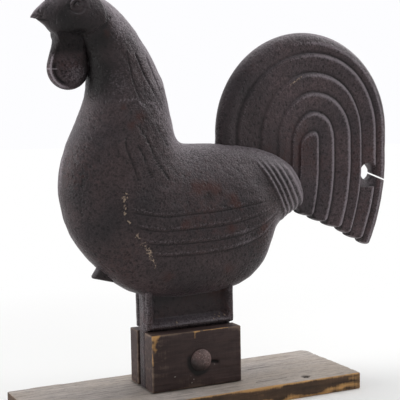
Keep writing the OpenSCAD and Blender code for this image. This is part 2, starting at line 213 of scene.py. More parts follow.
world = bpy.data.worlds.new("studio")
bpy.context.scene.world = world
world.use_nodes = True
tree = world.node_tree
level = add(tree, "ShaderNodeMapRange", [("Value", looked_at(tree)), ("To Min", 0.2), ("To Max", 1.0)])
tree.links.new(level.outputs[0], tree.nodes["Background"].inputs["Strength"])
tree.nodes["Background"].inputs["Color"].default_value = linear("#fdfdff")

# %% [markdown]
# Pieces are surfaces on grids. These helpers weave faces over a grid of points, measure distances to
# lines, and give smooth random numbers in space for the unevenness of cast and worn things.

# %% Grid and noise helpers


def weave(rows, columns, closed=False):
    """Quads over a grid of rows x columns points, joined round when closed."""
    i, k = np.meshgrid(np.arange(rows - 1), np.arange(columns if closed else columns - 1), indexing="ij")
    a, b = i * columns + k, i * columns + (k + 1) % columns
    return np.stack([a, b, b + columns, a + columns], -1).reshape(-1, 4)


def step(low, high, value):
    """Smooth step: 3t^2 - 2t^3 of t = (value - low) / (high - low), kept between 0 and 1."""
    t = np.clip((value - low) / (high - low), 0, 1)
    return t * t * (3 - 2 * t)


def bell(value, middle, width):
    """A soft line or spot: exp(-((value - middle) / width)^2)."""
    return np.exp(-(((value - middle) / width) ** 2))


def to_segment(points, start, end):
    """Distance of points to the straight line from start to end: |p - a - t (b - a)|, t kept in 0 to 1."""
    a, b = np.array(start, float), np.array(end, float)
    t = np.clip(((points - a) @ (b - a)) / ((b - a) @ (b - a)), 0, 1)
    return np.linalg.norm(points - a - t[..., None] * (b - a), axis=-1)


LATTICE_N = 32
LATTICE = np.random.default_rng(11).uniform(-1, 1, (LATTICE_N, LATTICE_N, LATTICE_N))


def lumps(points, size):
    """Random swell between -1 and 1, about `size` across: lattice numbers blended by 3t^2 - 2t^3."""
    cell = np.floor(points / size).astype(int)
    t = points / size - cell
    t = t * t * (3 - 2 * t)
    total = np.zeros(points.shape[:-1])
    for corner in np.ndindex(2, 2, 2):
        index = (cell + corner) % LATTICE_N
        weight = np.prod(np.where(corner, t, 1 - t), axis=-1)
        total += weight * LATTICE[index[..., 0], index[..., 1], index[..., 2]]
    return total


def normals(points):
    """Unit normals of a grid that closes round: the cross product of its differences both ways."""
    along = np.gradient(points, axis=0)
    across = np.roll(points, -1, 1) - np.roll(points, 1, 1)
    n = np.cross(across, along)
    return n / np.maximum(np.linalg.norm(n, axis=-1, keepdims=True), 1e-9)


print("lattice spread", LATTICE.std().round(3))

# %% [markdown]
# A piece is a mesh that rides on a body of the drawing and stands in for one of its solids. Numbers that
# belong to single points, such as how rusty each one is, go in as attributes before double points are
# merged, so that a finish can read them later. Merging closes seams and poles.

# %% Making pieces
MERGE = 1e-6


def tidy_mesh(mesh):
    """Merge double points, drop faces of no size and turn all faces outwards."""
    work = bmesh.new()
    work.from_mesh(mesh)
    bmesh.ops.remove_doubles(work, verts=work.verts, dist=MERGE)
    bmesh.ops.dissolve_degenerate(work, edges=work.edges, dist=MERGE)
    bmesh.ops.recalc_face_normals(work, faces=work.faces)
    work.to_mesh(mesh)
    work.free()
    mesh.polygons.foreach_set("use_smooth", np.ones(len(mesh.polygons), bool))
    mesh.update()


def new_object(name, points, faces, **marks):
    """An object from points in millimetres. Each mark is an array of one number per point."""
    mesh = bpy.data.meshes.new(name)
    mesh.from_pydata(points.reshape(-1, 3) * MM, [], faces)
    for mark, values in marks.items():
        layer = mesh.attributes.new(mark, "FLOAT", "POINT")
        layer.data.foreach_set("value", np.clip(values, 0, 1).astype(np.float32).ravel())
    tidy_mesh(mesh)
    made = bpy.data.objects.new(name, mesh)
    bpy.context.scene.collection.objects.link(made)
    return made


def make_piece(name, points, faces, material, body, node, slot, **marks):
    """A piece with its finish, the body it rides on and the solid it stands in for. The slot argument is not
    used.
    """
    piece = new_object(name, points, faces, **marks)
    piece.data.materials.append(material)
    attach(piece, body)
    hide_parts(node)
    return piece


print("points closer than", MERGE / MM, "mm are merged")

# %% [markdown]
# Holes are cut as in a workshop: what is to be taken out is an object of its own, and a boolean takes it
# out of the piece for good. Round things are turned from a profile, and grids that close round like a
# tube are closed at both ends by fans of triangles.

# %% Cutting, turning and closing
SIDES = 96


def cut(piece, tools):
    """Take the tools, which are objects too, out of a piece for good, and remove them."""
    for tool in tools:
        modifier = piece.modifiers.new(tool.name, "BOOLEAN")
        modifier.operation = "DIFFERENCE"
        modifier.solver = "EXACT"
        modifier.object = tool
    bpy.context.view_layer.update()
    done = bpy.data.meshes.new_from_object(piece.evaluated_get(bpy.context.evaluated_depsgraph_get()))
    piece.modifiers.clear()
    old, piece.data = piece.data, done
    name = old.name
    bpy.data.meshes.remove(old)
    done.name = name
    for tool in tools:
        bpy.data.objects.remove(tool)
    done.polygons.foreach_set("use_smooth", np.ones(len(done.polygons), bool))


def turned(profile, count, centre):
    """A profile of (radius, y) turned round the line through centre along Y."""
    t = angles(count)
    r, y = np.array(profile, float).T
    around = np.stack([np.outer(r, np.cos(t)), np.outer(y, 1 + 0 * t), np.outer(r, np.sin(t))], -1)
    return np.array(centre) + around


def woven(points):
    """The faces of a grid that closes round, from its points."""
    return weave(*points.shape[:2], closed=True).tolist()


def capped(points):
    """A grid that closes round, with a fan of triangles from the middle of its first and last ring."""
    rows, columns = points.shape[:2]
    n, k = rows * columns, np.arange(columns)
    last = n - columns
    fans = np.concatenate([np.stack([n + 0 * k, np.roll(k, -1), k], -1),
                           np.stack([n + 1 + 0 * k, last + k, last + np.roll(k, -1)], -1)])
    middles = points[[0, -1]].mean(1)
    return np.concatenate([points.reshape(-1, 3), middles]), woven(points) + fans.tolist()


print("a capped tube of 2 x 8 points has", len(capped(turned([(1, 0), (1, 1)], 8, (0, 0, 0)))[1]), "faces")

# %% [markdown]
# A few things recur in every finish here: one colour laid over another where a pattern or a mark on the
# piece says so, a colour made lighter and darker by a pattern, and small bumps laid over larger ones.
# Each is a short chain of nodes.

# %% Layers and surfaces


def blend(tree, below, above, pattern, start, full, cover=1.0):
    """Mix one colour over another by cover times (pattern - start) / (full - start)."""
    where = add(tree, "ShaderNodeMapRange", [("Value", pattern), ("From Min", start), ("From Max", full),
                                             ("To Max", cover)])
    return add(tree, "ShaderNodeMix", [("Factor", where.outputs[0]), ("A", below), ("B", above)],
               data_type="RGBA").outputs["Result"]


def shaded(tree, colour, pattern, low, high, least, most):
    """A colour times a factor that goes from least to most as the pattern goes from low to high."""
    factor = add(tree, "ShaderNodeMapRange", [("Value", pattern), ("From Min", low), ("From Max", high),
                                              ("To Min", least), ("To Max", most)])
    return add(tree, "ShaderNodeMix", [("Factor", 1.0), ("A", colour), ("B", factor.outputs[0])],
               data_type="RGBA", blend_type="MULTIPLY").outputs["Result"]


def marked(tree, mark, pattern):
    """A mark on the piece plus the pattern that breaks it up."""
    where = add(tree, "ShaderNodeAttribute", attribute_name=mark).outputs["Fac"]
    return add(tree, "ShaderNodeMath", [(0, where), (1, pattern)], operation="ADD").outputs[0]


def upward(tree):
    """How far a face looks up: the z of its normal."""
    normal = add(tree, "ShaderNodeNewGeometry").outputs["Normal"]
    return add(tree, "ShaderNodeSeparateXYZ", [("Vector", normal)]).outputs["Z"]


def surface(tree, shader, colour, rough, bumps):
    """Give a shader its colour, its roughness and its bumps.

    rough is a pattern, its range, and the roughness at both ends. Each bump is a height, a strength and
    a depth in millimetres, and lies over the one before it.
    """
    pattern, low, high, least, most = rough
    rough = add(tree, "ShaderNodeMapRange", [("Value", pattern), ("From Min", low), ("From Max", high),
                                             ("To Min", least), ("To Max", most)])
    tree.links.new(colour, shader.inputs["Base Color"])
    tree.links.new(rough.outputs[0], shader.inputs["Roughness"])
    below = []
    for height, strength, depth in bumps:
        bump = add(tree, "ShaderNodeBump", [("Height", height), ("Strength", strength),
                                            ("Distance", depth * MM), *below])
        below = [("Normal", bump.outputs[0])]
    tree.links.new(bump.outputs[0], shader.inputs["Normal"])


print("layers ready, materials so far:", [made.name for made in bpy.data.materials])

# %% [markdown]
# Old cast iron: poured in sand, so its skin is pitted and a little like orange peel, then blackened by
# years of weather and handling. To the eye that is a brown black with a dull sheen, which breaks up
# over the pits. Dust and a painted top light grey whatever faces up. Crests and lips are rubbed lighter
# and carry painted highlights, grime and painted shade fill the grooves and shaded places, and rust and
# pale crumbs sit where water and dirt stood.

# %% Weathered cast iron


def cast_iron(name, dark, brown, gloss=0.2, sheen=0.26):
    """Pitted black iron. Attributes say where rust, grime and painted shade, rubbed places and painted
    highlights, and pale residue lie.
    """
    material, tree, shader = new_material(name)
    place = add(tree, "ShaderNodeTexCoord").outputs["Object"]
    # Stains a hand wide, orange peel at 4.5 mm, sand grain at 1.8 mm and pits 6 mm apart.
    # Real grain is under 1 mm: it is drawn coarser so that it shows at this distance.
    stain, peel, grain = (
        add(tree, "ShaderNodeTexNoise", [("Vector", place), ("Scale", 1 / (size * MM)),
                                         ("Detail", detail)]).outputs[0]
        for size, detail in ((50, 4.0), (4.5, 3.0), (1.8, 2.0))
    )
    pit = add(tree, "ShaderNodeTexVoronoi", [("Vector", place), ("Scale", 1 / (6 * MM))])
    pit = add(tree, "ShaderNodeMapRange", [("Value", pit.outputs["Distance"]), ("From Min", 0.1),
                                           ("From Max", 0.4)], interpolation_type="SMOOTHSTEP").outputs[0]
    base = blend(tree, linear(dark), linear(brown), stain, 0.36, 0.64)
    # Peel, pits and grain: the range of each, and the factors at its ends
    for pattern, low, high, least, most in ((peel, 0.35, 0.65, 0.82, 1.25), (pit, 0, 1, 0.5, 1.0),
                                            (grain, 0.36, 0.64, 0.62, 1.5)):
        base = shaded(tree, base, pattern, low, high, least, most)
    # Grey dust and a painted top light on faces that look up, thicker on the grains that stand out
    dust_and_top_light = add(tree, "ShaderNodeMapRange", [("Value", upward(tree)), ("From Min", 0.0), ("From Max", 0.95),
                                            ("To Max", 0.75)], interpolation_type="SMOOTHSTEP")
    speck = add(tree, "ShaderNodeMapRange", [("Value", grain), ("From Min", 0.4), ("From Max", 0.62),
                                             ("To Min", 0.5), ("To Max", 1.2)])
    dust_and_top_light = add(tree, "ShaderNodeMath", [(0, dust_and_top_light.outputs[0]), (1, speck.outputs[0])], operation="MULTIPLY")
    base = add(tree, "ShaderNodeMix", [("Factor", dust_and_top_light.outputs[0]), ("A", base),
                                       ("B", linear("#7b7479"))], data_type="RGBA").outputs["Result"]
    # Each mark: its attribute, the pattern that breaks it up, the sums where it starts and is full,
    # how much it covers, and its colour
    # The grime mark darkens with dirt and with painted shade in grooves, creases and shaded places; the rub
    # mark lightens with wear and with painted highlights
    for mark, pattern, start, full, cover, colour in (
        ("rust", peel, 0.85, 1.5, 0.62, "#4a2a24"), ("grime", grain, 0.55, 1.35, 0.92, "#0b0909"),
        ("rub", grain, 0.7, 1.4, 0.85, "#958b91"), ("residue", grain, 1.06, 1.2, 0.85, "#ab9784"),
    ):
        base = blend(tree, base, linear(colour), marked(tree, mark, pattern), start, full, cover)
    # Old iron is dull rather than glossy, and fine dust catches light on its outlines
    shader.inputs["Specular IOR Level"].default_value = gloss
    shader.inputs["Sheen Weight"].default_value = sheen
    shader.inputs["Sheen Roughness"].default_value = 0.3
    shader.inputs["Sheen Tint"].default_value = linear("#c9c4ca")
    surface(tree, shader, base, (peel, 0.3, 0.7, 0.36, 0.52),
            [(peel, 0.7, 1.1), (pit, 0.6, 0.7), (grain, 0.6, 1.4)])
    return material


print("recipe for iron:", cast_iron.__doc__)

# %% [markdown]
# One recipe makes three irons. The body gets the weathered one. The tail gets a browner one, also
# lighter as painted light, since the tail stands less in shade than the body. The wattle gets a duller
# one, with little gloss and sheen, as painted shade under the jaw. Every part of the casting stands in
# for the same solid of the drawing.

# %% Irons of the casting
body_iron = cast_iron("weathered_cast_iron", "#302a2c", "#423738")
tail_iron = cast_iron("browned_and_lit_cast_iron", "#40383b", "#524547")
wattle_iron = cast_iron("sooty_cast_iron", "#3c3437", "#4a4042", 0.12, 0.08)


def iron_piece(name, points, faces, iron, **marks):
    """A part of the casting: it stands still with the stand and hides the solid of the casting."""
    return make_piece(name, points, faces, iron, "stand", "rooster_casting", "cast_iron_weathered", **marks)


print("iron finishes:", body_iron.name, tail_iron.name, wattle_iron.name)

# %% [markdown]
# The bird's body is a loft: sections from the rump, along the back and up the neck to the beak. Each
# section runs from a point on the back to a point on the breast and swells sideways between them.
# The rows are the pattern maker's sections; a smooth curve runs through them.

# %% Sections of the body
SOLE = node_box("rooster_casting")[0][2]
STEM_H = 104
BELLY = SOLE + STEM_H
BODY_HALF_T = 45
# Each row: back x and z, breast x and z above the belly, half thickness as a share of the widest
SECTIONS = np.array([
    [160, 120, 162, 104, 0.16], [145, 145, 156, 98, 0.42], [130, 157, 145, 92, 0.60],
    [113, 166, 131, 84, 0.73], [93, 172, 117, 72, 0.83], [70, 176, 108, 50, 0.91],
    [48, 178, 96, 27, 0.97], [30, 179, 68, 8, 1.00], [14, 179, 22, 0, 1.00],
    [0, 180, -30, 1, 1.00], [-8, 184, -75, 14, 1.00], [-14, 193, -111, 43, 1.00],
    [-16, 205, -138, 79, 0.97], [-19, 219, -150, 118, 0.92], [-22, 235, -150, 150, 0.85],
    [-26, 252, -141, 181, 0.77], [-34, 269, -128, 210, 0.69], [-43, 286, -118, 236, 0.62],
    [-54, 303, -115, 262, 0.56], [-66, 319, -118, 284, 0.53], [-81, 334, -128, 301, 0.52],
    [-98, 346, -144, 302, 0.50], [-118, 353, -154, 305.5, 0.45], [-140, 352, -162, 314, 0.32],
    [-159, 343, -169, 319, 0.17], [-172, 332, -175.5, 322, 0.07], [-178, 325, -178, 322, 0.04],
])
BEAK = len(SECTIONS) - 1


def section_at(s):
    """Catmull-Rom curve through the section rows, at row number s."""
    i = np.minimum(np.floor(s).astype(int), BEAK - 1)
    t = (s - i)[..., None]
    a, b, c, d = (SECTIONS[np.clip(i + k, 0, BEAK)] for k in (-1, 0, 1, 2))
    return b + t / 2 * ((c - a) + t * ((2 * a - 5 * b + 4 * c - d) + t * (3 * (b - c) + d - a)))


print("sections:", len(SECTIONS), "from", SECTIONS[0, :2], "to", SECTIONS[-1, :2])

# %% [markdown]
# Feathers stand in relief. They could be sculpted or drawn in bump, but a height over the body's two
# parameters keeps them exact and shows in outline too: s counts the sections and a is the angle round
# one, in degrees from the back to the breast. Saddle feathers cross the rump like roof tiles.

# %% Saddle feathers
SADDLE_H = 2.3
SADDLE_GROOVES = np.array([1.5, 2.4, 3, 3.5, 3.9, 4.25])


def saddle_lean(s, a):
    """How far the saddle feathers lean back from the spine to the belly, in rows."""
    return -0.75 * np.clip((a - 85) / 50, -0.8, 1) * step(0, 1.5, s) * (1 - step(4.5, 6.8, s))


def saddle_share(s):
    """How far s lies between its two neighbouring grooves, 0 to 1, or -1 where there are none."""
    k = np.searchsorted(SADDLE_GROOVES, s, side="right")
    inside = (k > 0) & (k < len(SADDLE_GROOVES))
    low = SADDLE_GROOVES[np.clip(k - 1, 0, None)]
    high = SADDLE_GROOVES[np.clip(k, None, len(SADDLE_GROOVES) - 1)]
    return np.where(inside, (s - low) / np.where(inside, high - low, 1), -1)


def saddle_window(a):
    """The saddle fades out towards the spine and the belly."""
    return step(30, 55, a) * (1 - step(165, 178, a))


def saddle(s, a):
    """Ridges between neighbouring grooves: up over 0.4 of the way and down over the rest."""
    f = saddle_share(s)
    ridge = np.where(f < 0.4, np.sqrt(np.clip(f / 0.4, 0, 1)), (1 - f) / 0.6)
    return np.where(f < 0, 0, SADDLE_H * ridge) * saddle_window(a)


print("saddle feathers:", len(SADDLE_GROOVES) - 1)

# %% [markdown]
# The wing's four long feathers lie one below another along the flank. Each swells to its lower lip and
# drops there to the next. Their lines sink a little towards both ends of the wing.

# %% Wing feathers
WING_H, FEATHER_STEP = 3.0, 1.0
WING_LINES = np.array([81, 92, 102.5, 112])
WING_REAR = 4.9


def wing_drift(s):
    """Degrees by which the wing's lines sink towards both of its ends."""
    front = 2.5 * np.clip(np.minimum(s, 12) - 8.3, 0, None) ** 2 * (1 - step(12, 16, s))
    return front + 1.9 * np.clip(7.5 - np.maximum(s, 4.8), 0, None) ** 2 * step(1, 4.8, s)


def wing_window(s, a):
    """1 on the wing: it rises over a row at the rear and ends at a slanting front edge."""
    front = 11.6 - (a - 81) * 0.048
    return step(WING_REAR - 0.4, WING_REAR + 0.8, s) * (1 - step(front - 0.4, front, s))


def wing_line(a, below, width):
    """Soft lines that follow the four lips, so many degrees below them."""
    return bell(a[..., None], WING_LINES + below, width).sum(-1)


def wing(s, a):
    """Heights joined up from lip to lip: each lip stands a feather step over the next feather's top."""
    tops = WING_H * (1 - np.arange(1, 5) / 4)
    lips = np.concatenate([[WING_H + 0.7 * FEATHER_STEP], tops[:-1] + FEATHER_STEP])
    knots = np.concatenate([[42, 60, 78], (WING_LINES[:, None] + [-0.8, 0.7]).ravel()])
    heights = np.concatenate([[0, lips[0] / 2, lips[0]], np.stack([lips, tops], -1).ravel()])
    return (np.interp(a, knots, heights) - 0.45 * wing_line(a, 1.0, 0.7)) * wing_window(s, a)


print("wing feathers:", len(WING_LINES))

# %% [markdown]
# Hackles run down the neck as grooves, each with its own start, bends, end and depth, as the carver of
# the pattern cut them by hand. They are lines in the side view, so a point of the skin is judged by its
# distance to them there. Finer streaks run the same way between them.

# %% Hackles
# Each groove: its start, bends and end as x and height above the belly, and its depth in millimetres
HACKLES = [
    ((-77, 284), (-72, 253), (-66, 234), 0.9), ((-66, 282), (-57, 259), (-36, 222), 1.7),
    ((-51, 278), (-41, 251), (-33, 229), 1.3), ((-69, 203), (-60, 188), (-50, 163), (-35, 141), 1.9),
    ((-87, 186), (-83, 171), (-74, 143), 1.4), ((-72, 183), (-66, 168), (-58, 146), 1.7),
    ((-48, 203), (-41, 192), (-33, 179), 1.6), ((-35, 160), (-30, 154), (-26, 149), 0.9),
    ((-98, 187), (-96, 180), (-95, 172), 0.8), ((-62, 216), (-55, 205), (-47, 192), 0.8),
]


def to_line(xz, *corners):
    """Distance to a line with corners: the least of the distances to its straight parts."""
    return np.min([to_segment(xz, *pair) for pair in zip(corners, corners[1:])], axis=0)


def hackle_lines(xz, width):
    """Depth of the grooves: a bell across each line."""
    return sum(depth * bell(to_line(xz, *corners), 0, width) for *corners, depth in HACKLES)


def hackles(s, xz, side):
    """Grooves with raised edges, and streaks that run down the neck at the same slant."""
    across, down = xz @ [0.89, 0.45], xz @ [0.45, -0.89]
    streak = lumps(np.stack([across, down / 7, 40 * side + 0 * s], -1), 3.4)
    neck = step(11, 13, s) * (1 - step(18, 19.3, s)) * step(-105, -80, xz[..., 0])
    return 0.25 * hackle_lines(xz, 3.2) - 0.95 * hackle_lines(xz, 1.0) + 0.4 * streak * neck


print("hackles:", len(HACKLES))

# %% [markdown]
# The face stands proud of the neck behind a sharp rear edge. A faint ring lies round the eye, and the
# beak has a nostril and a mouth line. These small marks are heights too, found from distances.

# %% Face
EYE_X, EYE_Z = -131.5, 334.5
NOSTRIL = (-173.2, 325.7)
MOUTH = ((-172.5, 321.3), (-161.5, 319.0))


def cheek_edge(a):
    """Section at which the cheek's rear edge lies: straight behind the jaw, curving on above the eye."""
    return 19.87 + 1.25 * (np.clip(90 - a, 0, None) / 48) ** 1.4


def cheek(s, a):
    """The face stands proud and sinks back towards the beak."""
    edge = cheek_edge(a)
    rise = step(edge - 0.06, edge + 0.06, s) * (1 - step(edge + 0.8, edge + 2.8, s))
    return 3.2 * rise * step(15, 40, a) * (1 - step(115, 145, a))


def face_marks(xz):
    """Nostril and mouth as one dark groove field, and the ring round the eye as a height."""
    nostril = np.exp(-(((xz[..., 0] - NOSTRIL[0]) / 2.8) ** 2 + ((xz[..., 1] - NOSTRIL[1]) / 1.6) ** 2))
    mouth = bell(to_segment(xz, *MOUTH), 0, 1.0)
    rho = np.hypot(xz[..., 0] - EYE_X, xz[..., 1] - EYE_Z)
    return nostril + mouth, 0.7 * bell(rho, 10, 1.5) - 0.6 * bell(rho, 7.8, 1.3)


print("eye at", EYE_X, EYE_Z, "mm")

# %% [markdown]
# The body's skin is one grid: rows close together where feathers cross it, angles close together where
# feathers run along it. Relief goes sideways for wing and saddle, as the mould was cut, and along the
# normal for the rest. A slow swell and small lumps keep it from looking machined.

# %% Body skin
rows = np.concatenate([
    np.arange(0, 1.3, 0.13), np.arange(1.3, 4.6, 0.045), np.arange(4.6, 19.6, 0.11),
    np.arange(19.6, 21.4, 0.05), np.arange(21.4, BEAK - 0.02, 0.1), [BEAK - 0.01, BEAK],
])
half = np.concatenate([
    np.arange(0, 18, 2.6), np.arange(18, 78, 1.2), np.arange(78, 117, 0.65),
    np.arange(117, 178.5, 2.0), [180],
])
ring = np.concatenate([half, half[-2:0:-1]])
side = np.concatenate([-np.ones(len(half)), np.ones(len(half) - 2)])
s, a = np.meshgrid(rows, ring, indexing="ij")
turn = np.radians(a + wing_drift(s) * np.sin(np.radians(a)))
section = section_at(np.clip(s + saddle_lean(s, np.degrees(turn)), 0, BEAK))
along = (1 - np.cos(turn)) / 2
swell = BODY_HALF_T * section[..., 4] * np.clip(np.sin(turn), 0, None) ** 0.85
skin = np.stack([
    section[..., 0] + (section[..., 2] - section[..., 0]) * along,
    side * swell,
    BELLY + section[..., 1] + (section[..., 3] - section[..., 1]) * along,
], -1)
side_view = skin[..., [0, 2]] - [0, BELLY]
face_grooves, eye_ring = face_marks(side_view)
facing = -normals(skin)  # these rings run the other way round, so the sign turns
relief = hackles(s, side_view, side) + cheek(s, a) + eye_ring - 0.8 * face_grooves
relief += 0.5 * lumps(skin, 34) + 0.3 * lumps(skin, 9) + 0.16 * lumps(skin, 4.5)
body_points = skin + facing * relief[..., None]
body_points[..., 1] += side * (wing(s, a) + saddle(s, a)) * step(0, 20, np.minimum(a, 180 - a))
print("body grid", *s.shape, "relief from", relief.min().round(2), "to", relief.max().round(2))

# %% [markdown]
# Where rust, grime and crumbs lie is read off the real one: rust on the wing's shoulder and halfway down
# the neck, grime and painted shade in every groove and over the throat, lips and crests rubbed and with
# painted highlights, and broken lines of pale crumbs along the wing's front edge.

# %% Worn places of the body
# Each spot: x, height above the belly and radius. The dark spots are painted shade under the jaw, over
# the throat and by the beak, with a few darker spots on the flank. The shaded spot is painted shade on the
# lower breast, with less rust. The sheen spots are painted highlights on the neck and the low rump.
RUST_SPOTS = [
    (-2, 131, 7), (10, 132, 5), (23, 128, 8), (42, 117, 7), (48, 108, 5), (39, 82, 6), (-36, 30, 8),
    (41, 32, 9), (-86, 224, 5), (-67, 213, 8), (-78, 204, 6), (-100, 304, 5), (86, 80, 7), (-20, 90, 5),
]
GRIME_AND_SHADE_SPOTS = [
    (-118, 268, 20), (-112, 246, 16), (-122, 292, 20), (-140, 312, 16), (-104, 300, 12), (13, 121, 7),
    (28, 124, 4), (-104, 262, 14), (-147, 325, 6), (-141, 334, 5),
]
PAINTED_SHADE_SPOTS = [(-108, 82, 34)]
PAINTED_SHEEN_SPOTS = [(-87, 252, 18), (60, 70, 14)]
# Each line: its corners
CRUMB_LINES = [((-90, 129), (-92, 114), (-90, 106), (-86, 96)),
               ((-77, 82), (-70, 72), (-65, 67), (-58, 54), (-53, 45))]
SCRATCHES = [((-90, 231), (-69, 233), (-61, 224)), ((-57, 229), (-47, 227), (-39, 216))]


def spots(xz, places):
    """Soft round patches, each given by x, z and radius: the sum of exp(-(distance / radius)^2)."""
    return sum(bell(np.linalg.norm(xz - [x, z], axis=-1), 0, r) for x, z, r in places)


def soft_lines(xz, lines, width):
    """Soft lines, each given by its corners: the sum of exp(-(distance / width)^2)."""
    return sum(bell(to_line(xz, *line), 0, width) for line in lines)


print("spots of rust:", len(RUST_SPOTS), "dark spots:", len(GRIME_AND_SHADE_SPOTS))

# %% [markdown]
# Every point of the skin gets four numbers: how much rust, how much grime and painted shade, how much
# rubbed iron and painted highlight, and how many crumbs it has. They are sums of these places, of the
# feathers' own grooves and lips, and of the way the skin faces, which paints light on the upper back, the
# nape, the low rump and the outline of the breast.

# %% Body wear
near_side = step(0.5, -0.5, side)
on_wing, f, past_cheek = wing_window(s, a), saddle_share(s), s - cheek_edge(a)
on_face = step(0, 0.2, past_cheek) * (1 - step(23, 25, s)) * step(10, 40, a)
# Rust in clouds and spots
rust = 0.2 + 0.35 * lumps(skin, 46) + spots(side_view, RUST_SPOTS) * (0.5 + 0.3 * near_side)
rust -= 0.2 * spots(side_view, PAINTED_SHADE_SPOTS)
# Grime and painted shade under the wing's lips and in every groove; painted shade in the dark spots and
# the shaded spot; grime and painted shade over the face; and a painted shadow along the cheek's rear edge
grime = 0.66 * on_wing * wing_line(a, 0.8, 0.65) + 0.6 * hackle_lines(side_view, 1.0) + 0.7 * face_grooves
grime += 0.6 * saddle_window(a) * np.where(f < 0, 0, bell(f, 0, 0.13) + bell(f, 1, 0.13))
grime += 0.6 * spots(side_view, GRIME_AND_SHADE_SPOTS) + 0.16 * spots(side_view, PAINTED_SHADE_SPOTS) + 0.25 * on_face
grime += 0.6 * bell(past_cheek, -0.12, 0.14) * step(15, 40, a) * step(112, 92, a)
# Rubbed lips and crests, which also carry painted highlights; painted light on the upper back, the nape,
# the low rump that faces right, the breast's outline, behind the cheek and on the sheen spots; the beak's
# top and tip rubbed and with a painted highlight; and scratches
upper_back = step(0.1, 0.8, facing @ [0.6, 0, 0.8])
nape = step(12, 14, s) * step(0.05, 0.65, facing @ [0.9, -0.1, 0.4])
rump = step(14, 12, s) * step(0.5, 0.95, facing @ [0.9, -0.42, -0.1])
breast = bell(facing @ [-0.9, 0.42, 0.1], 0.9, 0.07) * bell(side_view[..., 1], 160, 38)
rub = 0.25 * on_wing * wing_line(a, -1.8, 1.2) + 0.88 * saddle_window(a) * bell(f, 0.4, 0.16)
rub += (0.38 * upper_back + 0.3 * nape + 0.4 * rump + 0.5 * breast) * (1 - on_face)
rub += 0.4 * bell(past_cheek, -1.0, 0.7) * step(105, 70, a) + 0.5 * step(22.2, 24, s) * step(80, 30, a)
rub += 0.5 * step(23.8, 25.2, s) + 0.24 * spots(side_view, PAINTED_SHEEN_SPOTS)
rub += 0.55 * soft_lines(side_view, SCRATCHES, 0.9) * near_side
# Crumbs in broken lines, on the near side alone
crumbs = 0.64 * soft_lines(side_view, CRUMB_LINES, 5.0) * near_side
crumbs *= 0.92 + 0.2 * lumps(skin, 6) + 0.3 * lumps(skin, 3)
print("mean rust, grime and rub:", [float(values.mean().round(2)) for values in (rust, grime, rub)])

# %% [markdown]
# The skin becomes one mesh. A fan of triangles closes it inside the tail and at the tip of the beak.

# %% Body piece
points, faces = capped(body_points)
marks = {"rust": rust, "grime": grime, "rub": rub, "residue": crumbs}
body = iron_piece("rooster_body", points, faces, body_iron,
                  **{mark: np.append(values, [0, 0]) for mark, values in marks.items()})
print("rooster_body:", len(body.data.polygons), "faces")

# %% [markdown]
# The tail is a plate of nested arches. A line v counts ribs from the rim inwards: it climbs the left
# leg, rounds the arch and comes down the right leg to a tongue. The plate could be swept rib by rib,
# but one grid of lines has no seams between ribs.

# %% Tail lines
TAIL_R, RIM_W, RIBS, TAIL_X, TAIL_Z = 118, 17, 6, 165.3, 190
ARCH_WIDER, ARCH_LEAN, ARCH_DROP, RIB_DROP = 1.2, 8, 5.5, 3.2
BEND_FROM, BEND_R, ROOT_FLARE = 150, 235, 6
ROOT_Z, TIP_Z, TIP_STEP, TONGUE, TIP_PAST = 158, 42, 8.5, 4, 1.0
RIM_OUT, CORE_IN = -0.07, 5.86
RIB_PITCH = (TAIL_R - RIM_W) / (RIBS - 1.13)
# How far the carver let each line, from the rim to the core, stray to the right on either leg
LEFT_STRAY = [0, 4.5, 16, 19, 18, 9, -1.5]
RIGHT_STRAY = [0, 1, -0.8, 4.2, 0.6, -1.1, -2]
LEG, ARC = 60, 120
RIB_STEPS = np.array([0, 0.03, 0.06, 0.1, 0.14, 0.19, 0.25, 0.33, 0.43, 0.53, 0.63, 0.73, 0.83, 0.91, 0.97])

v = np.concatenate([
    RIM_OUT + (1 - RIM_OUT) * np.linspace(0, 1, 22, endpoint=False) ** 1.7,
    (np.arange(1, RIBS - 1)[:, None] + RIB_STEPS).ravel(), np.linspace(RIBS - 1, CORE_IN, 14),
])[:, None]
rib_no, part = np.floor(np.clip(v, 0, None)), np.mod(np.clip(v, 0, None), 1)
radius = np.where(v < 1, TAIL_R - RIM_W * v, TAIL_R - RIM_W - RIB_PITCH * (v - 1))
wide = radius + ARCH_WIDER
arch_z = TAIL_Z - np.where(v < 1, ARCH_DROP * v, ARCH_DROP + RIB_DROP * (v - 1))
stray_left, stray_right = (np.interp(v, np.arange(RIBS + 1), stray) for stray in (LEFT_STRAY, RIGHT_STRAY))
tip_z = TIP_Z - TIP_PAST + TIP_STEP * rib_no + TONGUE * np.clip(1 - part / 0.25, 0, None) ** 2
tip_z = tip_z + (TIP_STEP - 3) * part**2
root_z = ROOT_Z - (ROOT_Z - TIP_Z - TIP_STEP * (RIBS - 0.5)) * v / RIBS
up = np.linspace(0, 1, LEG, endpoint=False)
arc = np.linspace(np.pi, 0, ARC + 1)
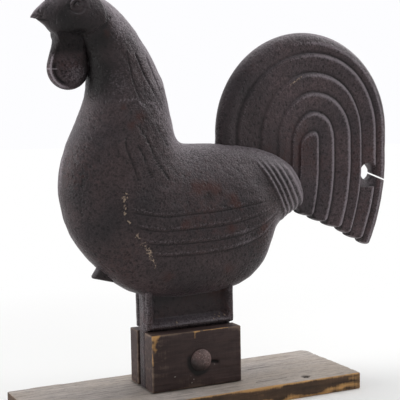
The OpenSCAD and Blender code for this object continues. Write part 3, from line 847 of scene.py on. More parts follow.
# Points lie closer together near the tongues
down = np.concatenate([np.linspace(0, 0.9, LEG - 14)[1:], 0.9 + 0.1 * (1 - np.linspace(1, 0, 16)[1:] ** 2)])
left_z = root_z + (arch_z - root_z) * up
right_z = arch_z + (tip_z - arch_z) * down
bend = -np.clip(BEND_FROM - right_z, 0, None) ** 2 / (2 * BEND_R)
line_x = TAIL_X + np.concatenate([
    -wide - ROOT_FLARE * (1 - up) ** 2 + stray_left,
    wide * np.cos(arc) + ARCH_LEAN * np.clip(v, 0, 1) * np.sin(arc) ** 2
    + stray_left * np.clip(-np.cos(arc), 0, 1) + stray_right * np.clip(np.cos(arc), 0, 1),
    wide + bend + stray_right,
], 1)
line_z = np.concatenate([left_z, arch_z + radius * np.sin(arc), right_z], 1)
print("tail lines", line_x.shape, "tips from", tip_z.min().round(1), "to", tip_z.max().round(1))

# %% [markdown]
# Across the lines the plate swells and dips: each rib has a steep outer flank, a crest and a long slope
# inwards, so the ribs overlap like shingles. The rim is rounded to an edge, and so is every tongue.

# %% Tail plate
TAIL_HALF_T, RIB_H, TIP_ROUND, NO_TIP = 11.5, 3.2, 3.0, 99.0
GROOVE = TAIL_HALF_T - RIB_H
# Each corner: its place across the lines, in ribs, and half the thickness there
RIM_PROFILE = [[RIM_OUT, 0], [-0.055, 2.2], [-0.02, 4.2], [0.04, 6.2], [0.14, 8.4], [0.28, 10.2],
               [0.42, 11.2], [0.55, 11.5], [0.75, 10.9], [0.96, GROOVE + 0.6]]
RIB_PROFILE = np.array([
    [0, GROOVE], [0.1, TAIL_HALF_T - 0.3], [0.17, TAIL_HALF_T + 0.2], [0.25, TAIL_HALF_T],
    [0.45, TAIL_HALF_T - 0.7], [0.7, TAIL_HALF_T - RIB_H * 0.5], [0.96, GROOVE + 0.4],
])
CORE_PROFILE = [[RIBS - 1, GROOVE], [RIBS - 0.87, TAIL_HALF_T - 0.3], [RIBS - 0.78, TAIL_HALF_T + 0.1],
                [RIBS - 0.5, TAIL_HALF_T - 0.2], [RIBS, TAIL_HALF_T - 0.4]]
ribs = np.concatenate([RIB_PROFILE + [i, 0] for i in range(1, RIBS - 1)])
profile = np.concatenate([RIM_PROFILE, ribs, CORE_PROFILE])

thick = np.interp(v, profile[:, 0], profile[:, 1])
# On the left legs the ribs fade into the plate
faint = 0.7 * step(TAIL_X + 8, TAIL_X - 40, line_x) * step(0.9, 1.2, v)
thick = thick + faint * (TAIL_HALF_T - 0.45 * RIB_H - thick)
tip_gap = np.concatenate([np.full((len(v), LEG + ARC + 1), NO_TIP), right_z - tip_z], 1)
thick = thick * np.sqrt(np.clip(1 - (1 - np.clip(tip_gap / TIP_ROUND, 0, 1)) ** 2, 0, 1))
front = np.stack([line_x, -thick, BELLY + line_z], -1)
wander = 0.5 * lumps(front, 28) + 0.3 * lumps(front, 8) + 0.15 * lumps(front, 4)
wander *= step(0, 6, thick)
front[..., 1] -= wander
back = front * [1, 0, 1] + np.stack([0 * thick, thick + wander[:, ::-1], 0 * thick], -1)
print("tail plate up to", 2 * thick.max().round(2), "mm thick")

# %% [markdown]
# The lines are woven into a sheet on each side. A strip joins the two legs of the innermost line, and a
# wall closes the root, where the plate goes into the body.

# %% Tail faces
n_v, n_t = line_x.shape
n = n_v * n_t
core = n - n_t
k = np.arange(LEG + ARC // 2 - 1)
strip = np.stack([core + k, core + k + 1, core + n_t - 2 - k, core + n_t - 1 - k], -1)
middle = core + n_t // 2
one_side = np.concatenate([weave(n_v, n_t), strip])
root = np.arange(n_v - 1) * n_t
root_wall = np.stack([root, root + n_t, root + n_t + n, root + n], -1)
root_close = np.array([[core, core + n_t - 1, core + n_t - 1 + n, core + n]])
tail_faces = np.concatenate([one_side, one_side[:, ::-1] + n, root_wall, root_close]).tolist()
tail_faces += [[middle - 1, middle, middle + 1], [middle + 1 + n, middle + n, middle - 1 + n]]
print("tail plate points", 2 * n)

# %% [markdown]
# Crests and the rim's outer edge carry painted highlights, stronger on the right, where the light falls.
# Painted shade darkens the grooves, more on the right, and the lower left beside the back. A line of
# pale crumbs clings to one rib.

# %% Tail piece
crest = np.where(v > 1, bell(part, 0.17, 0.09), 0.8 * bell(v, 0.5, 0.12) + 0.8 * bell(v, 0.05, 0.09))
dip = np.where(v > 0.5, bell(part, 0.0, 0.05) + bell(part, 0.97, 0.07), 0)
# Towards the right, where the light falls, painted highlights grow brighter and painted shade in the grooves
# darker
lit_right = 0.2 + 0.8 * step(TAIL_X - 40, TAIL_X + 40, line_x)
shaded_low_left = step(-10, -70, line_x - TAIL_X + 0.4 * (line_z - TAIL_Z))
tail_rust = 0.12 + 0.25 * step(TAIL_Z + 40, TAIL_Z - 30, line_z)
tail_rust += 0.4 * lumps(front, 40) + 0.15 * lumps(front, 11)
CRUMBS_FROM, CRUMBS_TO = (141, -TAIL_HALF_T, BELLY + 246), (157, -TAIL_HALF_T, BELLY + 256)
marks = {"rust": tail_rust, "rub": crest * lit_right,
         "grime": 0.6 * dip * (0.3 + 0.7 * lit_right) + 0.4 * shaded_low_left,
         "residue": 0.75 * bell(to_segment(front, CRUMBS_FROM, CRUMBS_TO), 0, 2.0)}
tail = iron_piece("rooster_tail", np.stack([front, back]), tail_faces, tail_iron,
                  **{mark: np.stack([values, values]) for mark, values in marks.items()})
print("rooster_tail:", len(tail.data.polygons), "faces before it is cut")

# %% [markdown]
# A round hole goes through the side of the tail, with a ledge below it where the ribs are cut away, and
# a slit, probably a crack opened with a saw, from the hole to the rim. They are cut out of the finished
# plate, as they were out of the iron.

# %% Hole, ledge and slit
HOLE_R, HOLE_EDGE, HOLE_DROP, HOLE_LEDGE = 11.5, 28, 55, 7
SLIT_W, SLIT_SLOPE, SLIT_TILT, SLIT_PAST = 2.0, -0.39, 0.18, 8
BORE_REACH, LEDGE_REACH = 40, 30
BOX_FACES = [[0, 1, 3, 2], [4, 6, 7, 5], [0, 4, 5, 1], [2, 3, 7, 6], [0, 2, 6, 4], [1, 5, 7, 3]]
hole_z = TAIL_Z - HOLE_DROP
hole_x = TAIL_X + ARCH_WIDER + TAIL_R - (BEND_FROM - hole_z) ** 2 / (2 * BEND_R) - HOLE_EDGE
hole = np.array([hole_x, 0, BELLY + hole_z])


def box_points(low, high):
    """The eight corners of a box."""
    return np.stack(np.meshgrid(*zip(low, high), indexing="ij"), -1).reshape(-1, 3)


slit = box_points((0, -2 * TAIL_HALF_T, -SLIT_W / 2), (HOLE_EDGE + SLIT_PAST, 2 * TAIL_HALF_T, SLIT_W / 2))
slit[:, 2] += SLIT_SLOPE * slit[:, 0] + SLIT_TILT * slit[:, 1]
bore = turned([(0, -BORE_REACH), (HOLE_R, -BORE_REACH), (HOLE_R, BORE_REACH), (0, BORE_REACH)], SIDES, hole)
ledges = [box_points(hole + [-HOLE_R, y, -HOLE_R - HOLE_LEDGE], hole + [HOLE_R, y + LEDGE_REACH, 0])
          for y in (-LEDGE_REACH - GROOVE, GROOVE)]
cut(tail, [new_object("bore_cutter", bore, woven(bore)),
           *[new_object("ledge_cutter", ledge, BOX_FACES) for ledge in ledges],
           new_object("slit_cutter", hole + slit, BOX_FACES)])
print("rooster_tail:", len(tail.data.polygons), "faces, marks",
      [layer.name for layer in tail.data.attributes if layer.name in marks])

# %% [markdown]
# The stem is a post with round ends between two flat frames, so its end shows three beads. Below its
# shoulder only the post goes on, as the tenon that the blocks grip. A panel is sunk into each frame. It
# is a stack of outlines: the reach of the ends is worked out from the round bars that make them up.

# %% Stem
STEM_W, STEM_T, TENON_T, SHOULDER_H, POST_R, FRAME_R = 113, 36, 23, 70, 7.5, 3.7
FRAME_T = (STEM_T - TENON_T) / 2 + 1
BORDER, SILL, PANEL_DEPTH, DRAFT = 5.5, 3, 11, 9
INTO_BELLY, SHOULDER_SHARE, NO_BAR = 24, 0.985, -99


def bar_end(y, middle, half_t, r):
    """How far a bar with rounded corners falls short at y: sqrt(r^2 - d^2) - r, d inside its corner."""
    d = np.abs(y - middle) - half_t + r
    return np.where(d > r, NO_BAR, np.sqrt(np.clip(r**2 - np.clip(d, 0, r) ** 2, 0, None)) - r)


def stem_outline(end_x, end_y):
    """Once round: along the front, round the right end, back along the rear and round the left end."""
    share = np.linspace(-1, 1, 112)[1:-1]
    x = np.concatenate([share * end_x[0], end_x, -share * end_x[-1], -end_x[::-1]])
    y = np.concatenate([0 * share + end_y[0], end_y, 0 * share + end_y[-1], end_y[::-1]])
    return np.stack([x, y], -1)


end_y = STEM_T / 2 * np.sin(np.linspace(-np.pi / 2, np.pi / 2, 80))
post_y = np.clip(end_y, -TENON_T / 2, TENON_T / 2)
post = STEM_W / 2 + np.maximum(bar_end(post_y, 0, TENON_T / 2, POST_R), -POST_R)
frames = STEM_W / 2 + np.maximum(bar_end(end_y, 0, TENON_T / 2, POST_R),
                                 bar_end(np.abs(end_y), (STEM_T - FRAME_T) / 2, FRAME_T / 2, FRAME_R))
tenon, upper = stem_outline(post, post_y), stem_outline(frames, end_y)
low_z = np.linspace(0, SHOULDER_H, 24)
high_z = np.concatenate([[SHOULDER_H], np.linspace(SHOULDER_H + 0.8, STEM_H + INTO_BELLY, 76)])
edge = np.where(high_z > SHOULDER_H, 1.0, SHOULDER_SHARE)[:, None, None]
stem_xy = np.concatenate([np.repeat(tenon[None], len(low_z), 0), edge * upper])
z = np.concatenate([low_z, high_z])[:, None] + 0 * stem_xy[..., 0]
stem_points = np.concatenate([stem_xy, SOLE + z[..., None]], -1)
x, y = stem_xy[..., 0], stem_xy[..., 1]
inside = np.minimum(STEM_W / 2 - BORDER - np.abs(x), z - SHOULDER_H - SILL)
panel = step(-0.5, DRAFT, inside) * (np.abs(y) > STEM_T / 2 - 0.7) * (z > SHOULDER_H)
stem_points[..., 1] -= np.sign(y) * PANEL_DEPTH * panel
swell = 0.4 * lumps(stem_points, 22) + 0.25 * lumps(stem_points, 6)
stem_points += normals(stem_points) * (swell * step(SHOULDER_H + 1, SHOULDER_H + 4, z))[..., None]
print("stem grid", *z.shape, "with a panel", PANEL_DEPTH, "mm deep")

# %% [markdown]
# Painted shade darkens the sunk panel, the creases between the beads and the top under the belly. The
# panel's border, its sill and both ends carry painted highlights, and on the near side a few pale flecks
# and one spot of rust lie in the panel.

# %% Stem piece
# Each fleck: x, height above the floor and radius
FLECKS = [(38, 97, 1.5), (30, 95.5, 1.2), (-18, 96, 1.4), (46, 98, 1.2), (41, 99.5, 1.1), (34, 99, 1.0)]
RUST_FLECKS = [(38, 128, 8)]
xz = np.stack([x, z + SOLE], -1)
beads = bell(np.abs(y), TENON_T / 2 - 0.2, 1.2) * (np.abs(x) > STEM_W / 2 - 10)
deep = panel * step(SHOULDER_H + 6, SHOULDER_H + 12, z)
border = bell(inside, 0, 2.2) * (panel > 0)
sill = bell(z, SHOULDER_H + 5, 3.5) * (np.abs(x) < STEM_W / 2 - 4)
ends = bell(np.abs(x), STEM_W / 2 - 1, 5) * (z > SHOULDER_H)
# The dark mark here is painted shade and the light mark is painted highlight
marks = {
    "rust": 0.3 + 0.3 * lumps(stem_points, 25) + spots(xz, RUST_FLECKS) * (y < 0),
    "grime": 0.26 * deep + 0.8 * beads + 0.3 * bell(z, STEM_H, 9),
    "rub": 0.15 * border + 0.28 * sill + 0.32 * ends,
    "residue": 1.1 * spots(xz, FLECKS) * (y < 0),
}
points, faces = capped(stem_points)
stem = iron_piece("rooster_stem", points, faces, body_iron,
                  **{mark: np.append(values, [0, 0]) for mark, values in marks.items()})
print("rooster_stem:", len(stem.data.polygons), "faces")

# %% [markdown]
# Wattle and lug are flat castings with soft edges: an outline that thins towards its rim like a cushion.
# The outline is the tight belt round a few circles, found from the furthest circle in each direction;
# points then shrink from it to the middle.

# %% Cushion-shaped pieces


def belt(circles, count=220, directions=1440):
    """Outline round circles (x, z, r): in each direction n the point of the circle with largest c.n + r."""
    c = np.array(circles, float)
    t = angles(directions)
    n = np.stack([np.cos(t), np.sin(t)], -1)
    far = np.argmax(n @ c[:, :2].T + c[:, 2], axis=1)
    line = c[far, :2] + c[far, 2, None] * n
    length = np.concatenate([[0], np.cumsum(np.linalg.norm(np.roll(line, -1, 0) - line, axis=1))])
    at = np.linspace(0, length[-1], count, endpoint=False)
    line = np.vstack([line, line[:1]])
    return np.stack([np.interp(at, length, line[:, i]) for i in (0, 1)], -1)


def cushion(outline, middle, height):
    """Two faces y = -+height(share, points) over rings that shrink from the outline to the middle."""
    share = np.concatenate([1 - np.linspace(0, 0.62, 30) ** 1.8, np.linspace(0.54, 0, 16)])[:, None]
    xz = np.array(middle) + share[..., None] * (outline - np.array(middle))
    h = height(share + 0 * xz[..., 0], xz)
    flat = np.stack([xz[..., 0], 0 * h, BELLY + xz[..., 1]], -1)
    h = h + 0.35 * lumps(flat, 12) * step(0, 3, h)
    faces = weave(*h.shape, closed=True)
    points = np.stack([flat - h[..., None] * [0, 1, 0], flat + h[..., None] * [0, 1, 0]])
    return points, np.concatenate([faces, faces[:, ::-1] + h.size]).tolist(), share, xz


print("belt of one circle:", belt([(0, 0, 10)], 8).round(1)[:2].tolist())

# %% [markdown]
# The wattle hangs from the chin. Its root is thicker, and its front edge runs into the jaw in a hollow.
# That edge is a thin raised rim with a painted highlight, and behind it lies a crescent groove darkened
# with painted shade. The rear runs into the shadow of the throat, which is painted on as dark shade too.
# The lug under the breast is plain, and painted darker all over as shade.

# %% Wattle and lug
WATTLE, CHIN, WATTLE_R, CHIN_R, WATTLE_T = (-137.5, 268), (-135.5, 300), 24, 18, 17
ROOT_LOW, ROOT_HIGH, HOLLOW_AT, JAW_LOW, JAW_HIGH = 280, 306, 295, 302, 311
WATTLE_CRACK, WATTLE_LOBE = ((-163, 267.5), (-152.5, 267)), (-131, 262, 12)
LUG_CIRCLES, LUG_MIDDLE, LUG_T = [(-114, 32, 2), (-88, 26, 3), (-96, 48, 8)], (-98, 37), 14


def low_front(xz):
    """1 on the front and lower front of the wattle, 0 on its rear."""
    angle = np.arctan2(xz[..., 1] - WATTLE[1], xz[..., 0] - WATTLE[0])
    return step(0.0, 0.7, np.cos(angle - math.radians(190)))


def wattle_height(share, xz):
    """Rounded rim, a crescent groove on the front, then a low flat lobe; thicker where it joins the jaw."""
    rim = np.sqrt(np.clip(1 - share**7, 0, 1))
    root = 1 + 0.8 * step(ROOT_LOW, ROOT_HIGH, xz[..., 1])
    groove = 2.6 * bell(share, 0.72, 0.1) + 0.8 * step(0.7, 0.6, share)
    return WATTLE_T / 2 * rim * root - low_front(xz) * groove


outline = belt([(*WATTLE, WATTLE_R), (*CHIN, CHIN_R)])
hollow = 1.1 * bell(outline[:, 1], HOLLOW_AT, 9) - 4 * step(JAW_LOW, JAW_HIGH, outline[:, 1])
outline[:, 0] += hollow * (outline[:, 0] < WATTLE[0])
points, faces, share, xz = cushion(outline, WATTLE, wattle_height)
groove = low_front(xz) * bell(share, 0.73, 0.08) * step(280, 268, xz[..., 1])
throat = np.maximum(step(-137, -117, xz[..., 0]), step(274, 290, xz[..., 1]))
rim = low_front(xz) * bell(share, 0.9, 0.05) * step(288, 276, xz[..., 1])
crack, lobe = soft_lines(xz, [WATTLE_CRACK], 0.8), spots(xz, [WATTLE_LOBE])
# Painted shade in the groove and over the throat; a painted highlight on the rim, a light crack line and a
# lighter lobe
marks = {"grime": 0.8 * groove + 0.8 * throat, "rub": rim + 0.9 * crack + 0.4 * lobe,
         "rust": 0.3 + 0.3 * lumps(points[0], 18)}
wattle = iron_piece("rooster_wattle", points, faces, wattle_iron,
                    **{mark: np.stack([values, values]) for mark, values in marks.items()})
points, faces, share, xz = cushion(belt(LUG_CIRCLES), LUG_MIDDLE,
                                   lambda share, xz: LUG_T / 2 * np.sqrt(1 - share**8))
# The lug is painted darker all over, as shade under the breast
lug = iron_piece("rooster_breast_lug", points, faces, body_iron, grime=0.35 + 0 * points[..., 0])
print("wattle and lug:", len(wattle.data.polygons), len(lug.data.polygons), "faces")

# %% [markdown]
# The comb stands over the head as five points in a fan. It is a sheet in polar form: the reach of its
# edge is the highest of five humps, and its thickness fades to nothing there.

# %% Comb
COMB_X, COMB_Z, COMB_ROOT, COMB_H, COMB_T, COMB_INNER = -126, 318, 33, 17, 12, 14
COMB_POINTS = 5
COMB_AT = np.radians(np.linspace(50, 134, COMB_POINTS))
COMB_REACH = COMB_ROOT + COMB_H * (1 - 0.08 * (np.arange(COMB_POINTS) - COMB_POINTS // 2) ** 2) + 3.5
POINT_HALF_W, POINT_CURVE, SMOOTH = 11, 0.11, 9
t = np.radians(np.linspace(36, 148, 240))
away = np.abs(t[:, None] - COMB_AT) * COMB_ROOT
edge = np.max(np.where(away < POINT_HALF_W, COMB_REACH - POINT_CURVE * away**2, 0), axis=1)
edge = np.maximum(edge, COMB_ROOT + 5 * step(0, 0.2, t - t[0]) * step(0, 0.2, t[-1] - t))
edge = np.convolve(np.pad(edge, SMOOTH // 2, mode="edge"), np.ones(SMOOTH) / SMOOTH, mode="valid")
share = np.concatenate([np.linspace(0, 0.8, 16), 1 - 0.2 * np.linspace(1, 0, 18)[1:] ** 2])[:, None]
reach = COMB_INNER + (edge - COMB_INNER) * share
taper = 1 - 0.35 * step(COMB_ROOT, COMB_ROOT + 20, reach)
thin = COMB_T / 2 * taper * np.sqrt(np.clip(1 - share**7, 0, 1))
near = np.stack([COMB_X + reach * np.cos(t), -thin, BELLY + COMB_Z + reach * np.sin(t)], -1)
near[..., 1] -= 0.3 * lumps(near, 9) * step(0, 3, thin)
n, columns = thin.size, len(t)
quads = weave(*thin.shape)
rise = np.arange(len(share) - 1) * columns
base = np.arange(columns - 1)
walls = [np.stack([rise + e, rise + columns + e, rise + columns + e + n, rise + e + n], -1)
         for e in (0, columns - 1)]
walls.append(np.stack([base, base + 1, base + 1 + n, base + n], -1))
rubbed = 0.5 * bell(share, 0.93, 0.06) + 0 * thin
comb = iron_piece("rooster_comb", np.stack([near, near * [1, -1, 1]]),
                  np.concatenate([quads, quads[:, ::-1] + n, *walls]).tolist(), body_iron,
                  rub=np.stack([rubbed, rubbed]), rust=0.35 + np.zeros(2 * n))
print("comb:", len(comb.data.polygons), "faces")

# %% [markdown]
# The eye is a raised ring round a low bead, cast on both sides of the head. It is a profile turned round
# its middle, set a little into the skin.

# %% Eyes
EYE_Y, EYE_R, EYE_SIDES = 0.44 * BODY_HALF_T, 6, 48
BEAD_R, BEAD_H, RING_HALF_W, RING_H, SET_IN = 4, 1.9, 1.75, 1.2, 4
rho = np.concatenate([np.linspace(0, 3.9, 14), np.linspace(4.0, 8.4, 26)])
bead = np.where(rho < BEAD_R, BEAD_H * np.sqrt(np.clip(1 - (rho / BEAD_R) ** 2, 0, 1)), 0)
ring_h = RING_H * np.sqrt(np.clip(1 - ((rho - EYE_R) / RING_HALF_W) ** 2, 0, 1))
rise = np.maximum(bead, ring_h) - SET_IN * step(7.4, 8.4, rho)
disc = turned(np.stack([rho, -rise], -1), EYE_SIDES, (EYE_X, -EYE_Y, BELLY + EYE_Z))
eye = np.concatenate([disc.reshape(-1, 3), disc[-1].mean(0, keepdims=True)])
hub = len(eye) - 1
k, last = np.arange(EYE_SIDES), hub - EYE_SIDES
quads = weave(*disc.shape[:2], closed=True)
fan = np.stack([last + k, last + np.roll(k, -1), 0 * k + hub], -1)
one = quads.tolist() + fan.tolist()
other = (quads[:, ::-1] + len(eye)).tolist() + (fan[:, [1, 0, 2]] + len(eye)).tolist()
# A darker ring at the foot of the bead, as painted shade in that crease, and the whole eye a little darker
dark = np.append(np.repeat(0.5 * bell(rho, 4.1, 0.5), EYE_SIDES), 0)
eyes = iron_piece("rooster_eyes", np.stack([eye, eye * [1, -1, 1]]), one + other, body_iron,
                  grime=np.tile(dark, 2) + 0.3)
print("eyes:", len(eyes.data.polygons), "faces")

# %% [markdown]
# The stand is old softwood. The blocks still wear dark brown paint, thin along every edge and rubbed
# through to yellow wood on a few corners. The board's top has gone grey; its edges keep dark paint with
# worn, orange wood along the rims. Grain is one noise stretched along X, as boards are cut.

# %% Old wood


def old_wood(name, paint, paint_dark, stripe, grey=()):
    """Painted softwood. Attributes say where paint is thin, gone, chalky or sooty.

    stripe is the contrast of the grain, and grey the dark, the light and the warm colour of a top that
    has lost its paint.
    """
    material, tree, shader = new_material(name)
    place = add(tree, "ShaderNodeTexCoord").outputs["Object"]
    # Drawn out along the grain, a little less so, and upright as a saw cuts
    run, drag, upright = (
        add(tree, "ShaderNodeMapping", [("Vector", place), ("Scale", scale)]).outputs[0]
        for scale in ((0.05, 1.0, 1.0), (0.35, 1.0, 1.0), (1.0, 1.0, 0.15))
    )
    # Grain lines 4 mm apart that run 20 times as far, fibres at 1.2 mm, clouds of 50 mm, chips of 5 mm and
    # saw marks 2.5 mm apart, which with the chips break up every worn patch
    grain, fibre, cloud, chip, saw = (
        add(tree, "ShaderNodeTexNoise", [("Vector", way), ("Scale", 1 / (size * MM)), ("Detail", detail),
                                         ("Roughness", rough)]).outputs[0]
        for way, size, detail, rough in ((run, 4, 6.0, 0.62), (run, 1.2, 3.0, 0.5), (drag, 50, 5.0, 0.5),
                                         (drag, 5, 5.0, 0.5), (upright, 2.5, 4.0, 0.5))
    )
    broken = add(tree, "ShaderNodeMath", [(0, saw), (1, 0.5), (2, chip)], operation="MULTIPLY_ADD").outputs[0]
    streak = (grain, 0.3, 0.7, 1 - stripe, 1 + stripe)
    colour = blend(tree, linear(paint_dark), linear(paint), cloud, 0.35, 0.65)
    colour = shaded(tree, colour, *streak)
    if grey:
        dark, light, warm = (linear(tone) for tone in grey)
        ash = blend(tree, dark, light, grain, 0.28, 0.68)
        ash = blend(tree, ash, warm, cloud, 0.42, 0.7, 0.7)
        colour = blend(tree, colour, ash, upward(tree), 0.5, 0.8)
    # Handling has left small lighter and darker patches all over
    colour = shaded(tree, colour, broken, 0.55, 0.95, 0.78, 1.22)
    # Each mark: its attribute, where the sum with the breaks starts and is full, its cover and its colour
    for mark, start, full, cover, tone in (
        ("thin", 1.05, 1.65, 0.8, "#8a7768"), ("bare", 1.05, 1.6, 0.95, "#d2a268"),
        ("chalk", 1.35, 1.45, 0.9, "#c9c2b8"), ("soot", 0.85, 1.55, 0.96, "#0d0a09"),
    ):
        worn = shaded(tree, linear(tone), *streak)
        colour = blend(tree, colour, worn, marked(tree, mark, broken), start, full, cover)
    shader.inputs["Specular IOR Level"].default_value = 0.25
    surface(tree, shader, colour, (grain, 0, 1, 0.5, 0.75), [(grain, 0.6, 1.5), (fibre, 0.4, 0.5)])
    return material


block_wood = old_wood("painted_pine", "#4a3b39", "#392c2a", 0.15)
board_wood = old_wood("weathered_pine", "#5c4635", "#33281f", 0.35, grey=("#8d847e", "#c6bdb7", "#b0a294"))
print("wood finishes:", block_wood.name, board_wood.name)

# %% [markdown]
# A worn board is a box whose edges have been rounded by hand and weather. A bevel would round every edge
# alike, so each point of the box is pulled back to an inner box and pushed out again by a radius that
# wanders along the edge.

# %% Worn boxes


def box_grid(low, high, pitch):
    """Points and quads of the six faces of a box, about `pitch` apart."""
    counts = np.maximum(np.ceil((high - low) / pitch).astype(int), 2) + 1
    points, faces, start = [], [], 0
    for axis in range(3):
        u, v = [k for k in range(3) if k != axis]
        for end in (low, high):
            grid = np.empty((counts[u], counts[v], 3))
            grid[..., u] = np.linspace(low[u], high[u], counts[u])[:, None]
            grid[..., v] = np.linspace(low[v], high[v], counts[v])
            grid[..., axis] = end[axis]
            faces.append(weave(counts[u], counts[v]) + start)
            points.append(grid.reshape(-1, 3))
            start += grid[..., 0].size
    return np.concatenate(points), np.concatenate(faces).tolist()


def worn_box(low, high, pitch, edge_r, wander):
    """Box with rounded edges: inner + r (p - inner) / |p - inner|, r = edge_r give or take wander."""
    points, faces = box_grid(low, high, pitch)
    r = edge_r + wander * lumps(points, 18) + 0.5 * wander * lumps(points, 6)
    r = np.clip(r, 0.25, None)[:, None]
    inner = np.clip(points, low + r, high - r)
    gap = np.linalg.norm(points - inner, axis=1, keepdims=True)
    return inner + r * (points - inner) / np.maximum(gap, 1e-9), faces


def to_edge(points, low, high):
    """Distance to the nearest edge of a box: the second smallest distance to its faces."""
    return np.sort(np.minimum(points - low, high - points), axis=1)[:, 1]


print("worn boxes ready")

# %% [markdown]
# The board's grain has weathered into ridges, a nail has left a hole, and one rear corner is worn round.

# %% Board
NAIL_HOLE, NAIL_R, NAIL_DEPTH = np.array([134.3, -52.8]), 4.8, 5
ROUND_CORNER_R, ROUNDING = 9, 0.8

low, high = node_box("base_board")
points, faces = worn_box(low, high, 1.9, 1.5, 0.8)
off = np.clip(points[:, :2] - (high[:2] - ROUND_CORNER_R), 0, None)
off_r = np.maximum(np.linalg.norm(off, axis=1), np.maximum(off.max(1), 1e-9))
points[:, :2] += off * (off.max(1) / off_r - 1)[:, None] * ROUNDING
ridges = lumps(points * [0.08, 1, 1], 3.2) + 0.6 * lumps(points * [0.05, 1, 1], 1.7)
on_top = step(-1.2, -0.4, points[:, 2] - high[2])
nail = np.exp(-((np.linalg.norm(points[:, :2] - NAIL_HOLE, axis=1) / NAIL_R) ** 4))
points[:, 2] -= on_top * (np.clip(0.3 - 0.45 * ridges, 0, 1.0) + NAIL_DEPTH * nail)
print("board of", (high - low).round(1), "mm with", len(points), "points")

# %% [markdown]
# Its front edge has lost paint in thin streaks along both rims. Painted shade blackens the nail hole, a
# painted shadow lies along the foot of the blocks, and two cracks of the top are darkened.

# %% Board piece
# Each streak on the front edge: x from and to, height above the floor, half width
STREAKS = [
    (-30, 201, 19.6, 1.3), (40, 92, 18.0, 1.5), (30, 78, 3.0, 2.2), (95, 118, 3.0, 2.6), (120, 160, 2.0, 2.0),
    (150, 178, 5.0, 3.0), (172, 201, 7.0, 3.4), (182, 201, 14.0, 2.0), (-200, -120, 19.7, 0.7),
    (-70, -40, 2.0, 1.5),
]
CRACKS = [((88, 8), (140, 12)), ((70, -47), (112, -46))]

x, y, z = points.T
rim = to_edge(points, low, high)
on_front = step(2.5, 0.8, y - low[1])
streak = sum(bell(z, middle, w) * step(x0 - 6, x0 + 6, x) * step(x1 + 6, x1 - 6, x)
             for x0, x1, middle, w in STREAKS)
bare = on_front * (0.6 * streak + 0.15 + 0.12 * lumps(points * [0.3, 1, 1], 9))
bare += 0.4 * bell(rim, 0, 1.6) * (1 - 0.6 * on_top)
crack = soft_lines(points[:, :2], CRACKS, 0.9)
low_block, high_block = node_box("front_block")
foot = np.clip(np.abs(points[:, :2]) - [high_block[0], -low_block[1]], 0, None)
foot = bell(np.linalg.norm(foot, axis=1), 0, 2.0)
# Painted shade in the nail hole, darkened cracks, and a painted shadow along the foot of the blocks
soot = 2.0 * nail * step(-8, -7, z - high[2]) + on_top * (0.8 * crack + 0.55 * foot)
board = make_piece("base_board_worn", points, faces, board_wood, "stand", "base_board", "board_wood",
                   bare=bare, thin=0.55 * bell(rim, 0, 3.0), soot=soot)
print("base_board_worn:", len(board.data.polygons), "faces before it is cut")

# %% [markdown]
# The screws come up from below, so their countersunk holes are cut out of the board's underside.

# %% Screw holes
SCREW_PITCH, SCREW_HEAD_R, SCREW_R, SCREW_SINK, SCREW_CONE = 76, 4.8, 2.4, 0.6, 2.4
SCREW_PLAY, SINK_LOW, SINK_HIGH, SINK_SIDES = 0.15, -2, 9, 40

screw_low, screw_high = node_box("base_screws")
screw_y = (screw_high[1] - screw_low[1]) / 2 - SCREW_HEAD_R
head_r, shank_r = SCREW_HEAD_R + SCREW_PLAY, SCREW_R + SCREW_PLAY
sink = turned([(0, SINK_LOW), (head_r, SINK_LOW), (head_r, SCREW_SINK), (shank_r, SCREW_SINK + SCREW_CONE),
               (shank_r, SINK_HIGH), (0, SINK_HIGH)], SINK_SIDES, (0, 0, 0))[..., [0, 2, 1]]
cut(board, [new_object(f"sink_{i}_{k}", sink + [i * SCREW_PITCH / 2, k * screw_y, 0], woven(sink))
            for i in (-1, 1) for k in (-1, 1)])
print("base_board_worn:", len(board.data.polygons), "faces")

# %% [markdown]
# The front clamp block shows its history: rubbed corners, a chip at the top with a crack below it, a
# gouge beside the bolt, blackened with painted shade, a painted shadow at the lower left of the bolt's
# head, a small stain and a few specks.

# %% Marks of the front block
BOLT_X, BOLT_Z = 4, SOLE + 32
GOUGE = ((17.5, 49.2), (26.5, 47.4))
GOUGE_DEPTH = 4.0
# Worn places on the front face: x and z from and to, and half width
RUBBED = [(-56.5, 86.5, -49, 86, 2.2), (-56.5, 86, -53, 81, 3.4), (-56, 75.5, -53, 71, 3.2),
          (-57, 66, -56.5, 52, 0.7), (-3.2, 87, -3.4, 79, 1.0), (-3, 86.6, 3, 86.9, 1.3),
          (8, 87.2, 40, 87.2, 0.7)]
# Each speck and stain: x, z and radius
SPECKS = [(-29.6, 36.6, 1.3), (-5.4, 30.9, 1.0), (-9, 35, 0.8), (-8, 27, 0.8), (22, 45.2, 1.0)]
STAINS = [(-1, 37, 5)]


def front_marks(xz):
    """Bare wood; painted shade in the gouge, a painted shadow by the bolt's head and a stain; chalky specks.
    """
    bare = sum(bell(to_segment(xz, r[0:2], r[2:4]), 0, r[4]) for r in RUBBED)
    beside = xz - [BOLT_X, BOLT_Z]
    around = np.linalg.norm(beside, axis=-1)
    shadow = bell(around, 15, 3.0) * step(-0.2, 0.7, -(beside @ [0.6, 0.8]) / np.maximum(around, 1e-9))
    soot = 1.2 * soft_lines(xz, [GOUGE], 1.7) + 1.1 * shadow + 0.5 * spots(xz, STAINS)
    return bare, soot, spots(xz, SPECKS)


print("front block:", len(RUBBED), "worn places and", len(SPECKS), "specks")

# %% [markdown]
# Both blocks are worn boxes of the same make, with the grain standing out on their outer face.

# %% Clamp blocks


